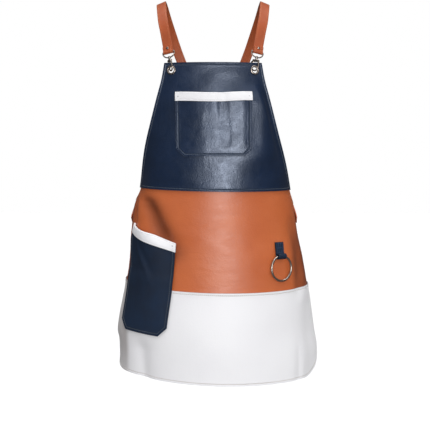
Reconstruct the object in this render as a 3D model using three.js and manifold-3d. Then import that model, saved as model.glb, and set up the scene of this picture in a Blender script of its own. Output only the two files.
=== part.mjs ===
// Blacksmith apron as it hangs when worn: navy bib, tan waist panel and white skirt,
// a chest pocket, a hip pocket, a tool ring, and two straps that cross on the back.
// Millimetres, +Z up. The origin is midway between the two places where the straps lie on top of
// the shoulders. -Y is the front, and left and right are those of someone looking at the front.

import * as THREE from 'three';
import { mergeVertices } from 'three/addons/utils/BufferGeometryUtils.js';
import Module from 'manifold-3d';

const wasm = await Module();
wasm.setup();

// Leather and clearances
const leather = 2.0;
const strapThick = 2.4;
const trimLeaf = 1.2;
const gap = 0.3;
const seamLap = 12;

// Apron, from the bib's top edge to the hem
const bibDrop = 130;
const apronLength = 642;
const waistSeamDrop = 257;
const skirtSeamDrop = 458;
const skirtHalf = 282;
const hemCorner = 80;
const hemFall = 9.6;
const hemRise = 22;

// Room that the worn apron goes round
const girthHalf = 210;
const girthFront = 142;
const girthBack = 114;
const foldDepth = 10;

// Chest pocket
const chestPocketWidth = 147;
const chestPocketHeight = 127;
const chestPocketDrop = 60;
const chestPocketCorner = 15;
const chestPocketBulge = 9;
const chestPocketEase = 0.2;

// Hip pocket, turned with the hip and with a slanted mouth
const hipPocketWidth = 120;
const hipPocketHeight = 201;
const hipPocketAcross = -141;
const hipPocketDrop = 450;
const hipPocketCorner = 18;
const hipPocketBulge = 12;
const hipPocketEase = 0.6;
const hipPocketTilt = 0.084;
const hipMouthSlant = 0.22;

// White binding on both pocket mouths
const trimHeight = 18;
const trimOverhang = 0.8;

// Tool ring and the folded tab that holds it
const tabAcross = 140;
const tabDrop = 360;
const tabWidth = 20;
const tabRise = 29;
const tabLoopRadius = 5.8;
const ringRadius = 25.2;
const ringWire = 4.6;
const ringClear = 0.4;

// Eyelets in the bib's top corners
const eyeletAcross = 83.5;
const eyeletDrop = 15;
const eyeletHole = 5.8;
const eyeletPlay = 0.5;
const eyeletFlange = 9.2;
const eyeletBarrelWall = 0.8;
const eyeletFront = 1.2;
const eyeletBack = 0.8;

// Swivel hooks
const hookWire = 3.0;
const hookLoopRadius = 6.9;
const hookTurn = Math.PI / 4;
const hookRise = -0.9;
const hookHeadUp = 20.4;
const hookHeadRadius = 2.4;
const hookHeadThick = 4.8;
const hookSlot = 2.8;
const pivotPin = 1.4;
const gateThick = 2.2;
const neckRadius = 2.4;
const neckTop = 25.0;
const studRadius = 1.3;
const studHeadRadius = 2.2;
const studHeadThick = 1.2;
const bossRadius = 3.2;
const bossHeight = 2.8;
const eyeBarUp = 38.4;
const eyeWire = 2.6;

// Straps
const strapWidth = 20.5;
const foldInner = 1.65;
const foldLayerGap = 0.4;
const foldEndUp = 11;
const foldTaper = 4.5;
const foldToStrap = 4;
const strapRivetUp = 7.3;
const strapRivetHead = 2.6;
const strapRivetShank = 1.0;
const shoulderHalf = 107;
const shoulderDepth = 115;
const strapBackAcross = 52;
const strapBackDrop = 20;
const strapEndBelow = 10.3;
const strapEndInset = 18;
const strapTail = 11;
const strapEase = 0.6;
const panelApproach = 40;
const crossingHalf = 22;
const crossingRamp = 40;
const endRivetHead = 4.0;
const endRivetShank = 1.9;
const rivetCap = 1.1;
const rivetPlay = 1.5;

// Sections of the room that the apron goes round, from the bib's top at 0 to the hem at 1. half,
// front and back are shares of girthHalf, girthFront and girthBack. centre moves the section and
// slide turns the leather round it, both as shares of girthHalf.
const sections = [
  { at: 0.00, half: 0.800, front: 0.75, back: 0.98, centre: 0.000, slide: 0.000 },
  { at: 0.22, half: 0.785, front: 0.83, back: 1.00, centre: 0.002, slide: 0.000 },
  { at: 0.39, half: 0.741, front: 0.86, back: 0.90, centre: 0.021, slide: 0.000 },
  { at: 0.45, half: 0.788, front: 0.87, back: 0.91, centre: 0.007, slide: 0.010 },
  { at: 0.54, half: 0.826, front: 0.89, back: 0.94, centre: 0.012, slide: 0.020 },
  { at: 0.62, half: 0.860, front: 0.91, back: 0.97, centre: 0.031, slide: 0.028 },
  { at: 0.71, half: 0.902, front: 0.93, back: 1.00, centre: 0.035, slide: 0.035 },
  { at: 0.83, half: 0.960, front: 0.97, back: 1.05, centre: 0.025, slide: 0.045 },
  { at: 0.92, half: 0.989, front: 0.99, back: 1.07, centre: 0.040, slide: 0.050 },
  { at: 1.00, half: 1.000, front: 1.00, back: 1.08, centre: 0.048, slide: 0.055 },
];

// Flat outline: wide is the half width as a share of skirtHalf. The armhole curves run out into the
// waist at armholeShare, and the straps are sewn just below.
const armholeShare = 0.47;
const armholeEnd = armholeShare * apronLength;
const strapEndDrop = armholeEnd + strapEndBelow;
const outline = [
  { at: 0.00, wide: 0.349 },
  { at: 0.05, wide: 0.372 },
  { at: 0.10, wide: 0.407 },
  { at: 0.22, wide: 0.497 },
  { at: 0.32, wide: 0.589 },
  { at: 0.38, wide: 0.656 },
  { at: 0.41, wide: 0.702 },
  { at: 0.44, wide: 0.780 },
  { at: armholeShare, wide: 0.925 },
  { at: 0.52, wide: 0.945 },
  { at: 0.71, wide: 0.960 },
  { at: 1.00, wide: 1.000 },
];

// Folds. across is the place on the leather where the fold starts and reach how far it runs
// sideways, spread its breadth, all as shares of skirtHalf; deep is a share of foldDepth, and from
// and to say how far down the apron it goes.
const folds = [
  { across: -0.56, reach: 0.24, spread: 0.070, deep: -0.38, from: 0.42, to: 0.57 },
  { across: -0.70, reach: 0.02, spread: 0.035, deep: -0.26, from: 0.42, to: 0.56 },
  { across: -0.52, reach: 0.02, spread: 0.085, deep: -0.45, from: 0.85, to: 1.10 },
  { across: -0.90, reach: 0.00, spread: 0.100, deep: -0.70, from: 0.85, to: 0.99 },
  { across: 0.66, reach: 0.02, spread: 0.055, deep: -0.30, from: 0.47, to: 0.76 },
  { across: 0.80, reach: 0.00, spread: 0.070, deep: -0.25, from: 0.72, to: 1.10 },
];

// Way of a strap over the shoulder, from front to back: across is a share of shoulderHalf, deep a
// share of shoulderDepth and down a share of bibDrop.
const shoulderWay = [
  { across: 0.900, deep: -0.75, down: 0.52 },
  { across: 0.945, deep: -0.64, down: 0.34 },
  { across: 0.975, deep: -0.45, down: 0.16 },
  { across: 0.995, deep: -0.22, down: 0.04 },
  { across: 1.000, deep: 0.02, down: 0.00 },
  { across: 0.980, deep: 0.28, down: 0.04 },
  { across: 0.930, deep: 0.54, down: 0.18 },
  { across: 0.835, deep: 0.75, down: 0.42 },
  { across: 0.695, deep: 0.90, down: 0.75 },
];

const navy = new THREE.MeshStandardMaterial({ color: 0x1c2b45, roughness: 0.42, metalness: 0 });
const tan = new THREE.MeshStandardMaterial({ color: 0xb0582f, roughness: 0.5, metalness: 0 });
const white = new THREE.MeshStandardMaterial({ color: 0xefeef1, roughness: 0.45, metalness: 0 });
const nickel = new THREE.MeshStandardMaterial({ color: 0x8b8480, roughness: 0.3, metalness: 1 });

const apron = new THREE.Group();

function addMesh(parent, name, geometry, material) {
  const mesh = new THREE.Mesh(facingOut(geometry), material);
  mesh.name = name;
  parent.add(mesh);
  return mesh;
}

// Closed meshes, and joining and cutting them

function meshFrom(points, faces) {
  const geometry = new THREE.BufferGeometry();
  const flat = points.flatMap((point) => point.toArray());
  geometry.setAttribute('position', new THREE.Float32BufferAttribute(flat, 3));
  geometry.setIndex(faces.flat());
  return geometry;
}

function signedVolume(geometry) {
  const place = geometry.attributes.position;
  const corner = (k) => {
    const vertex = geometry.index ? geometry.index.getX(k) : k;
    return new THREE.Vector3().fromBufferAttribute(place, vertex);
  };
  const count = geometry.index ? geometry.index.count : place.count;
  let volume = 0;
  for (let k = 0; k < count; k += 3) {
    volume += corner(k).dot(corner(k + 1).cross(corner(k + 2))) / 6;
  }
  return volume;
}

function facingOut(geometry) {
  const merged = merge(geometry);
  if (signedVolume(merged) < 0) {
    merged.index.array.reverse();
  }
  return merged;
}

function merge(geometry) {
  const bare = geometry.clone();
  bare.deleteAttribute('normal');
  bare.deleteAttribute('uv');
  const merged = mergeVertices(bare, 1e-3);
  const faces = [];
  for (let k = 0; k < merged.index.count; k += 3) {
    const [a, b, c] = [0, 1, 2].map((corner) => merged.index.getX(k + corner));
    if (a !== b && b !== c && c !== a) faces.push(a, b, c);
  }
  merged.setIndex(faces);
  return merged;
}

function solidOf(geometry) {
  const closed = facingOut(geometry);
  return new wasm.Manifold(new wasm.Mesh({
    numProp: 3,
    vertProperties: new Float32Array(closed.attributes.position.array),
    triVerts: new Uint32Array(closed.index.array),
  }));
}

function geometryOf(solid) {
  const mesh = solid.getMesh();
  const geometry = new THREE.BufferGeometry();
  geometry.setAttribute('position', new THREE.BufferAttribute(mesh.vertProperties, 3));
  geometry.setIndex(new THREE.BufferAttribute(mesh.triVerts, 1));
  return geometry;
}

const joined = (geometries) => geometryOf(geometries.map(solidOf).reduce((all, one) => all.add(one)));

const cut = (geometry, tools) => {
  return geometryOf(tools.map(solidOf).reduce((rest, tool) => rest.subtract(tool), solidOf(geometry)));
};

// A solid through a row of rings with equal numbers of points. The end faces pair the ring's first
// point with its last, the second with the last but one, and so on, which also closes a U. Strips
// named in turnedStrips are split along their other diagonal.
function loft(rings, turnedStrips = []) {
  const count = rings[0].length;
  const faces = [];
  for (let i = 0; i < rings.length - 1; i += 1) {
    for (let k = 0; k < count; k += 1) {
      const a = i * count + k;
      const b = i * count + ((k + 1) % count);
      const [c, d] = [b + count, a + count];
      if (turnedStrips.includes(k)) faces.push([a, b, d], [b, c, d]);
      else faces.push([a, b, c], [a, c, d]);
    }
  }
  const last = (rings.length - 1) * count;
  for (let k = 0; k < count / 2 - 1; k += 1) {
    const [a, b, c, d] = [k, k + 1, count - 2 - k, count - 1 - k];
    faces.push([a, c, b], [a, d, c]);
    faces.push([last + a, last + b, last + c], [last + a, last + c, last + d]);
  }
  return meshFrom(rings.flat(), faces);
}

// A round wire along a flat path in the x-z plane.
function wireAlong(path, radius, sides) {
  const across = new THREE.Vector3(0, 1, 0);
  const rings = path.map((point, i) => {
    const before = path[Math.max(i - 1, 0)];
    const after = path[Math.min(i + 1, path.length - 1)];
    const ahead = after.clone().sub(before).normalize();
    const side = ahead.clone().cross(across);
    return Array.from({ length: sides }, (_, k) => {
      const turn = ((k + 0.5) / sides) * 2 * Math.PI;
      return point.clone()
        .addScaledVector(side, radius * Math.cos(turn))
        .addScaledVector(across, radius * Math.sin(turn));
    });
  });
  return loft(rings);
}

// A round solid about the x-z plane's z axis from a list of [radius, height] corners.
function turned(profile, sides) {
  const points = profile.map(([radius, height]) => new THREE.Vector2(radius, height));
  const lathe = new THREE.LatheGeometry(points, sides);
  return lathe.rotateX(Math.PI / 2);
}

const rod = (radius, low, high, sides) => {
  return turned([[0, low], [radius, low], [radius, high], [0, high]], sides);
};

// A plate in the x-z plane, thick along y, from a shape drawn in x and z.
function plate(shape, thick) {
  const extruded = new THREE.ExtrudeGeometry(shape, {
    depth: thick,
    bevelEnabled: false,
    curveSegments: 5,
  });
  return extruded.translate(0, 0, -thick / 2).rotateX(Math.PI / 2);
}

// Values between the rows of a table, without overshoot

function tableValue(rows, key, at) {
  const last = rows.length - 1;
  if (at <= rows[0].at) return rows[0][key];
  if (at >= rows[last].at) return rows[last][key];
  const i = rows.findIndex((row) => row.at >= at) - 1;
  const rise = (j) => (rows[j + 1][key] - rows[j][key]) / (rows[j + 1].at - rows[j].at);
  const slope = (j) => {
    if (j === 0) return rise(0);
    if (j === last) return rise(last - 1);
    const product = rise(j - 1) * rise(j);
    return product <= 0 ? 0 : (2 * product) / (rise(j - 1) + rise(j));
  };
  const step = rows[i + 1].at - rows[i].at;
  const t = (at - rows[i].at) / step;
  const h = 1 - t;
  return rows[i][key] * h * h * (1 + 2 * t) + rows[i + 1][key] * t * t * (1 + 2 * h)
    + step * t * h * (slope(i) * h - slope(i + 1) * t);
}

const smooth = (low, high, value) => THREE.MathUtils.smoothstep(value, low, high);

// The worn surface. Places on it are (run, z), where run is the way round from the front's middle.

const arcSteps = 96;
const sectionCache = new Map();

function sectionAt(z) {
  const key = z.toFixed(5);
  if (sectionCache.has(key)) return sectionCache.get(key);
  const at = (-z - bibDrop) / apronLength;
  const section = {
    half: girthHalf * tableValue(sections, 'half', at),
    front: girthFront * tableValue(sections, 'front', at),
    back: girthBack * tableValue(sections, 'back', at),
    centre: girthHalf * tableValue(sections, 'centre', at),
    slide: girthHalf * tableValue(sections, 'slide', at),
    arcs: [0],
  };
  for (let k = 1; k <= arcSteps; k += 1) {
    const angle = ((k - 0.5) / arcSteps) * Math.PI;
    const deep = angle < Math.PI / 2 ? section.front : section.back;
    const pace = Math.hypot(section.half * Math.cos(angle), deep * Math.sin(angle));
    section.arcs.push(section.arcs[k - 1] + (pace * Math.PI) / arcSteps);
  }
  section.round = section.arcs[arcSteps];
  sectionCache.set(key, section);
  return section;
}

function angleAt(section, run) {
  const wrapped = Math.abs(run) > section.round ? run - 2 * section.round * Math.sign(run) : run;
  const way = Math.abs(wrapped);
  let low = 0;
  let high = arcSteps;
  while (high - low > 1) {
    const middle = Math.floor((low + high) / 2);
    if (section.arcs[middle] <= way) low = middle;
    else high = middle;
  }
  const part = (way - section.arcs[low]) / (section.arcs[high] - section.arcs[low]);
  return (Math.sign(wrapped) || 1) * ((low + part) / arcSteps) * Math.PI;
}

function wornPoint(run, z, lift) {
  const section = sectionAt(z);
  const angle = angleAt(section, run);
  const deep = Math.cos(angle) > 0 ? section.front : section.back;
  const spot = new THREE.Vector3(
    section.centre + section.half * Math.sin(angle),
    -deep * Math.cos(angle),
    z,
  );
  const out = new THREE.Vector3(deep * Math.sin(angle), -section.half * Math.cos(angle), 0);
  return spot.addScaledVector(out.normalize(), lift);
}

// Frame of a surface given by place(u, z): out of it, and along it to the right and up.
function frameOf(place, u, z) {
  const step = 1.5;
  const across = place(u + step, z).sub(place(u - step, z)).normalize();
  const rise = place(u, z + step).sub(place(u, z - step));
  const out = across.clone().cross(rise).normalize();
  return { out, across, up: out.clone().cross(across) };
}

// The leather. Places on it are (s, z), where s is measured from the apron's own middle line.

function foldAt(s, z) {
  const at = (-z - bibDrop) / apronLength;
  const fade = 0.05;
  return folds.reduce((sum, fold) => {
    const along = THREE.MathUtils.clamp((at - fold.from) / (fold.to - fold.from), 0, 1);
    const middle = (fold.across + fold.reach * along) * skirtHalf;
    const off = (s - middle) / (fold.spread * skirtHalf);
    const window = smooth(fold.from, fold.from + fade, at) * (1 - smooth(fold.to - fade, fold.to, at));
    return sum + fold.deep * foldDepth * window * Math.exp(-off * off);
  }, 0);
}

const leatherPoint = (s, z) => wornPoint(s - sectionAt(z).slide, z, foldAt(s, z));

function leatherSpot(s, z, lift) {
  const { out } = frameOf(leatherPoint, s, z);
  return leatherPoint(s, z).addScaledVector(out, lift);
}

// Height of a line that is level on the flat apron. On the worn one the hem falls to the right by
// hemFall and rises at both sides by hemRise, and the seams do so by their share of the length.
function levelZ(drop, s) {
  const off = s / skirtHalf;
  return -bibDrop - drop + (drop / apronLength) * (hemRise * off * off - hemFall * off);
}

function halfWidth(drop) {
  const wide = skirtHalf * tableValue(outline, 'wide', drop / apronLength);
  const up = Math.max(hemCorner - (apronLength - drop), 0);
  return wide - hemCorner + Math.sqrt(hemCorner * hemCorner - up * up);
}

// A closed sheet over a grid of places, rows from top to bottom and columns from left to right.
// lift(place) is how far its inner face stands off the leather's surface.
function sheet(grid, lift, thick) {
  const columns = grid[0].length;
  const count = grid.length * columns;
  const face = (extra) => grid.flat().map((place) => leatherSpot(place.s, place.z, lift(place) + extra));
  const faces = [];
  for (let i = 0; i < grid.length - 1; i += 1) {
    for (let j = 0; j < columns - 1; j += 1) {
      const a = i * columns + j;
      const [b, c, d] = [a + columns, a + columns + 1, a + 1];
      faces.push([a, b, c], [a, c, d]);
      faces.push([count + a, count + c, count + b], [count + a, count + d, count + c]);
    }
  }
  const rim = [];
  for (let j = 0; j < columns - 1; j += 1) rim.push(j);
  for (let i = 0; i < grid.length - 1; i += 1) rim.push(i * columns + columns - 1);
  for (let j = columns - 1; j > 0; j -= 1) rim.push((grid.length - 1) * columns + j);
  for (let i = grid.length - 1; i > 0; i -= 1) rim.push(i * columns);
  rim.forEach((p, k) => {
    const q = rim[(k + 1) % rim.length];
    faces.push([p, q, count + q], [p, count + q, count + p]);
  });
  return meshFrom([...face(thick), ...face(0)], faces);
}

const spread = (low, high, steps) => {
  return Array.from({ length: steps + 1 }, (_, k) => low + ((high - low) * k) / steps);
};

const panelGrid = (drops, columns) => drops.map((drop) => {
  const half = halfWidth(drop);
  return spread(-half, half, columns).map((s) => ({ s, z: levelZ(drop, s) }));
});

// Panels. The bib and the skirt both lap over the waist panel, so they lie one layer further out.

const lapLift = leather + gap;
const panelColumns = 28;
const panel = (drops, lift) => sheet(panelGrid(drops, panelColumns), () => lift, leather);

const bib = panel([...spread(0, waistSeamDrop - seamLap, 9), waistSeamDrop], lapLift);

// The rows are closer together where the armhole curve runs out into the waist.
const waist = panel([
  waistSeamDrop - seamLap,
  ...spread(waistSeamDrop, armholeEnd, 4),
  ...spread(armholeEnd, skirtSeamDrop, 5).slice(1),
  skirtSeamDrop + seamLap,
], 0);

const cornerStart = apronLength - hemCorner;
const cornerDrops = spread(0, Math.PI / 2, 4).slice(1)
  .map((turn) => cornerStart + hemCorner * Math.sin(turn));
const skirt = panel([
  skirtSeamDrop,
  ...spread(skirtSeamDrop + seamLap, cornerStart, 5),
  ...cornerDrops,
], lapLift);

// Pockets. A pocket's own places are (p, q), across and up from the middle of its bottom edge's line.

function pocketPlan(size) {
  const { width, height, corner, tilt, slant, across, drop } = size;
  const mid = { s: across, z: levelZ(drop, across) };
  const top = (p) => height / 2 - slant * p;
  const toSheet = (p, q) => ({
    p,
    q,
    s: mid.s + p * Math.cos(tilt) + q * Math.sin(tilt),
    z: mid.z - p * Math.sin(tilt) + q * Math.cos(tilt),
  });
  const half = (q) => {
    const up = q + height / 2;
    return width / 2 - Math.max(corner - up, 0);
  };
  return { ...size, top, toSheet, half };
}

// Face that a pocket lies on: the outer face of the panels, with a ramp over the skirt's seam.
function groundLift(plan, place) {
  if (plan.onBib) return lapLift + leather;
  const seamZ = levelZ(skirtSeamDrop, place.s);
  const rampStart = seamZ + seamLap;
  return leather + lapLift * (1 - smooth(rampStart, rampStart + 2 * seamLap, place.z));
}

// Shares of a pocket's height: where it starts and ends to make room for the binding's inner leaf,
// and where its bulge would be full.
const trimRoomLow = 0.45;
const trimRoomHigh = 0.8;
const bulgeHigh = 1.15;

function pocketLift(plan, place) {
  const reach = plan.top(place.p) + plan.height / 2;
  const up = (place.q + plan.height / 2) / reach;
  const belly = Math.cos((Math.PI / 2) * Math.min(Math.abs(place.p) / (plan.width / 2), 1)) ** 2;
  const room = plan.ease + (trimLeaf + gap) * smooth(trimRoomLow, trimRoomHigh, up);
  return groundLift(plan, place) + gap + room + plan.bulge * belly * smooth(0, bulgeHigh, up);
}

function pocketSheet(plan, columns, rows) {
  const low = -plan.height / 2;
  const start = low + plan.corner;
  const levels = [
    () => low,
    () => low + plan.corner / 2,
    ...spread(0, 1, rows).map((part) => (p) => start + (plan.top(p) - trimHeight - start) * part),
    plan.top,
  ];
  const grid = levels.map((level) => {
    const half = plan.half(level(0));
    return spread(-half, half, columns).map((p) => plan.toSheet(p, level(p)));
  });
  return sheet(grid.reverse(), (place) => pocketLift(plan, place), leather);
}

// Binding folded over a pocket's mouth: a U whose leaves lie on both faces of the pocket.
function pocketTrim(plan, columns) {
  const half = plan.width / 2;
  const rings = spread(-half, half, columns).map((inside) => {
    const p = Math.abs(inside) < half ? inside : inside + Math.sign(inside) * trimOverhang;
    const mouth = plan.top(p);
    const corner = (below, off) => {
      const place = plan.toSheet(p, mouth - below);
      return leatherSpot(place.s, place.z, pocketLift(plan, place) + off);
    };
    const near = -gap;
    const far = leather + gap;
    return [
      corner(trimHeight, far + trimLeaf),
      corner(-gap - trimLeaf, far + trimLeaf),
      corner(-gap - trimLeaf, near - trimLeaf),
      corner(trimHeight, near - trimLeaf),
      corner(trimHeight, near),
      corner(-gap, near),
      corner(-gap, far),
      corner(trimHeight, far),
    ];
  });
  const nearInside = 4;
  return loft(rings, [nearInside]);
}

const chestPlan = pocketPlan({
  width: chestPocketWidth,
  height: chestPocketHeight,
  corner: chestPocketCorner,
  bulge: chestPocketBulge,
  ease: chestPocketEase,
  tilt: 0,
  slant: 0,
  across: 0,
  drop: chestPocketDrop + chestPocketHeight / 2,
  onBib: true,
});

const hipPlan = pocketPlan({
  width: hipPocketWidth,
  height: hipPocketHeight,
  corner: hipPocketCorner,
  bulge: hipPocketBulge,
  ease: hipPocketEase,
  tilt: hipPocketTilt,
  slant: hipMouthSlant,
  across: hipPocketAcross,
  drop: hipPocketDrop,
  onBib: false,
});

addMesh(apron, 'chest_pocket', pocketSheet(chestPlan, 12, 5), navy);
addMesh(apron, 'chest_pocket_trim', pocketTrim(chestPlan, 12), white);
addMesh(apron, 'hip_pocket', pocketSheet(hipPlan, 12, 8), navy);
addMesh(apron, 'hip_pocket_trim', pocketTrim(hipPlan, 12), white);
addMesh(apron, 'skirt_panel', skirt, white);

// Group whose x, y and z run along right, inward and up of a frame.
function groupAt(parent, origin, across, out, up) {
  const group = new THREE.Group();
  const turn = new THREE.Matrix4().makeBasis(across, out.clone().negate(), up);
  group.quaternion.setFromRotationMatrix(turn);
  group.position.copy(origin);
  parent.add(group);
  group.updateMatrixWorld(true);
  return group;
}

// Tool ring: its tab is a strip folded round the ring's wire and sewn flat on the waist panel.
const ringSag = ringRadius - Math.sqrt(ringRadius ** 2 - (tabWidth / 2) ** 2);
const pivotDrop = ringSag / 2;
const wireSlant = ringRadius / Math.sqrt(ringRadius ** 2 - (tabWidth / 2) ** 2);
const tabHole = pivotDrop + (ringWire / 2) * wireSlant + ringClear;
const tabThick = 2 * (tabLoopRadius - tabHole);

const tabZ = levelZ(tabDrop, tabAcross) - tabRise;
const tabFrame = frameOf(leatherPoint, tabAcross, tabZ);
const tabGroup = groupAt(
  apron,
  leatherSpot(tabAcross, tabZ, leather + gap),
  tabFrame.across,
  tabFrame.out,
  tabFrame.up,
);

function tabGeometry() {
  const shape = new THREE.Shape();
  const loopEnd = Math.acos((tabThick - tabLoopRadius) / tabLoopRadius);
  shape.moveTo(0, tabRise);
  shape.lineTo(0, 0);
  shape.absarc(-tabLoopRadius, 0, tabLoopRadius, 0, loopEnd - Math.PI * 2, true);
  shape.lineTo(-tabThick, tabRise);
  const hole = new THREE.Path();
  hole.absarc(-tabLoopRadius, 0, tabHole, 0, Math.PI * 2, false);
  shape.holes.push(hole);
  const tab = new THREE.ExtrudeGeometry(shape, {
    depth: tabWidth,
    bevelEnabled: false,
    curveSegments: 12,
  });
  const stand = new THREE.Matrix4().makeBasis(
    new THREE.Vector3(0, 1, 0),
    new THREE.Vector3(0, 0, 1),
    new THREE.Vector3(1, 0, 0),
  );
  return tab.translate(0, 0, -tabWidth / 2).applyMatrix4(stand);
}

addMesh(tabGroup, 'ring_tab', tabGeometry(), navy);

// The ring hangs from its pivot and its lower edge rests on the panel.
const ringHang = 2 * ringRadius - pivotDrop;
const ringRest = leatherSpot(tabAcross, tabZ - ringHang, leather + ringClear + ringWire / 2)
  .sub(tabGroup.position)
  .dot(tabFrame.out);
const ringLean = Math.asin((tabLoopRadius - ringRest) / ringHang);
const ringPivot = new THREE.Group();
ringPivot.position.set(0, -tabLoopRadius, 0);
ringPivot.rotation.x = ringLean;
tabGroup.add(ringPivot);
const ringShape = new THREE.TorusGeometry(ringRadius, ringWire / 2, 8, 30)
  .rotateX(Math.PI / 2)
  .translate(0, 0, pivotDrop - ringRadius);
addMesh(ringPivot, 'tool_ring', ringShape, nickel);

// Eyelets, hooks and straps, once for each side

const strapLayer = (strapThick + foldLayerGap) / 2;
const foldRadius = foldInner + strapThick / 2;
const bibHoles = [];
const waistHoles = [];

function eyeletProfile() {
  const inner = leather / 2 + eyeletPlay;
  const barrel = eyeletHole + eyeletBarrelWall;
  return [
    [eyeletHole, -inner - eyeletBack],
    [eyeletFlange, -inner - eyeletBack],
    [eyeletFlange, -inner],
    [barrel, -inner],
    [barrel, inner],
    [eyeletFlange, inner],
    [eyeletFlange - eyeletFront / 2, inner + eyeletFront],
    [eyeletHole + eyeletFront, inner + eyeletFront],
    [eyeletHole, inner],
    [eyeletHole, -inner - eyeletBack],
  ];
}

// Hook in its own plane, x to the spine and z up, with the eyelet's hole at the origin. Its nose
// ends above the eyelet's flange, so that the gate can swing in over it.
const spineReach = (leather / 2 + eyeletPlay + eyeletFront + gap + hookWire / 2) / Math.cos(hookTurn);
const loopCentre = spineReach - hookLoopRadius;
const gateReach = loopCentre - hookLoopRadius;
const noseUp = eyeletFlange - hookRise + gap;
const pivotIn = gateReach + hookHeadRadius;
const spineTop = spineReach - hookHeadRadius;

function hookGeometry() {
  const bend = (from, to, steps) => spread(from, to, steps).map((turn) => new THREE.Vector3(
    loopCentre + hookLoopRadius * Math.cos(turn),
    0,
    hookLoopRadius + hookLoopRadius * Math.sin(turn),
  ));
  const path = [
    new THREE.Vector3(spineTop, 0, hookHeadUp),
    new THREE.Vector3(spineReach - hookWire / 4, 0, (hookHeadUp + hookLoopRadius) / 2),
    ...bend(0, -Math.PI, 10),
    new THREE.Vector3(gateReach, 0, noseUp),
  ];
  const head = new THREE.Shape();
  head.absarc(spineTop, hookHeadUp, hookHeadRadius, -Math.PI / 2, Math.PI / 2, false);
  head.absarc(pivotIn, hookHeadUp, hookHeadRadius, Math.PI / 2, Math.PI * 1.5, false);
  const block = plate(head, hookHeadThick);
  const slotWidth = 2 * (hookHeadRadius + gap);
  const slot = new THREE.BoxGeometry(slotWidth * 2, hookSlot, slotWidth * 2)
    .translate(pivotIn - slotWidth / 2, 0, hookHeadUp);
  const bore = rod(pivotPin / 2 + gap, -hookHeadThick, hookHeadThick, 16)
    .rotateX(Math.PI / 2)
    .translate(pivotIn, 0, hookHeadUp);
  const neck = rod(neckRadius, hookHeadUp, neckTop, 10);
  const studTop = neckTop + gap + bossHeight + gap;
  const stud = rod(studRadius, hookHeadUp, studTop + studHeadThick / 2, 8);
  const studHead = rod(studHeadRadius, studTop, studTop + studHeadThick, 8);
  const forged = joined([wireAlong(path, hookWire / 2, 8), cut(block, [slot, bore])]);
  return joined([forged, neck, stud, studHead]);
}

function gateGeometry() {
  const tipUp = noseUp + 2 * gap;
  const lever = new THREE.Shape();
  const half = gateThick / 2;
  const reach = hookHeadRadius - gap;
  const thumbTop = hookHeadUp - hookHeadRadius;
  const thumbLow = thumbTop - hookHeadRadius;
  lever.moveTo(gateReach, tipUp);
  lever.lineTo(gateReach - half, tipUp + half);
  lever.lineTo(gateReach - half, thumbLow - gateThick / 2);
  lever.lineTo(gateReach - 3 * half, thumbLow);
  lever.lineTo(gateReach - 3 * half, thumbTop);
  lever.absarc(pivotIn, hookHeadUp, reach, Math.PI, 0, true);
  lever.lineTo(gateReach + half, tipUp);
  const bar = plate(lever, gateThick);
  const pin = rod(pivotPin / 2, -hookHeadThick / 2, hookHeadThick / 2, 12)
    .rotateX(Math.PI / 2)
    .translate(pivotIn, 0, hookHeadUp);
  return joined([bar, pin]);
}

// Swivel eye: a wire D on a drilled boss that turns on the hook's stud.
function eyeGeometry() {
  const bossLow = neckTop + gap;
  const wire = eyeWire / 2;
  const barHalf = strapWidth / 2 + 2 * gap;
  const bowHalf = barHalf + wire;
  const bowLow = bossLow + bossHeight - wire;
  const bowTop = eyeBarUp - 2 * wire;
  const bow = spread(0, Math.PI, 12).map((turn) => new THREE.Vector3(
    bowHalf * Math.cos(turn),
    0,
    bowTop - (bowTop - bowLow) * Math.sin(turn),
  ));
  const corner = wire;
  const path = [
    new THREE.Vector3(0, 0, eyeBarUp),
    new THREE.Vector3(bowHalf - corner, 0, eyeBarUp),
    new THREE.Vector3(bowHalf, 0, eyeBarUp - corner),
    ...bow,
    new THREE.Vector3(-bowHalf, 0, eyeBarUp - corner),
    new THREE.Vector3(corner - bowHalf, 0, eyeBarUp),
  ];
  const ring = wireLoop(path, wire, 6);
  const boss = rod(bossRadius, bossLow, bossLow + bossHeight, 12);
  const studTop = neckTop + gap + bossHeight;
  const pocket = rod(studHeadRadius + gap, studTop, studTop + 2 * studHeadThick + gap, 12);
  const bore = rod(studRadius + gap, bossLow - 1, studTop + 1, 12);
  return cut(joined([ring, boss]), [bore, pocket]);
}

// A closed round wire along a flat loop in the x-z plane.
function wireLoop(path, radius, sides) {
  const across = new THREE.Vector3(0, 1, 0);
  const total = path.length;
  const points = [];
  path.forEach((point, i) => {
    const ahead = path[(i + 1) % total].clone().sub(path[(i + total - 1) % total]).normalize();
    const side = ahead.clone().cross(across);
    spread(0, 2 * Math.PI, sides).slice(1).forEach((turn) => {
      points.push(point.clone()
        .addScaledVector(side, radius * Math.cos(turn))
        .addScaledVector(across, radius * Math.sin(turn)));
    });
  });
  const faces = [];
  for (let i = 0; i < total; i += 1) {
    for (let k = 0; k < sides; k += 1) {
      const a = i * sides + k;
      const b = i * sides + ((k + 1) % sides);
      const c = ((i + 1) % total) * sides + k;
      const d = ((i + 1) % total) * sides + ((k + 1) % sides);
      faces.push([a, b, d], [a, d, c]);
    }
  }
  return meshFrom(points, faces);
}

function rivetGeometry(head, shank, low, high) {
  return turned([
    [0, low - rivetCap],
    [head, low - rivetCap],
    [head, low],
    [shank, low],
    [shank, high],
    [head, high],
    [head - rivetCap, high + rivetCap],
    [0, high + rivetCap],
  ], 12);
}

// Rivet and its hole, about the outward direction of a group.
const alongOut = (geometry) => geometry.rotateX(Math.PI / 2);

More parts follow.
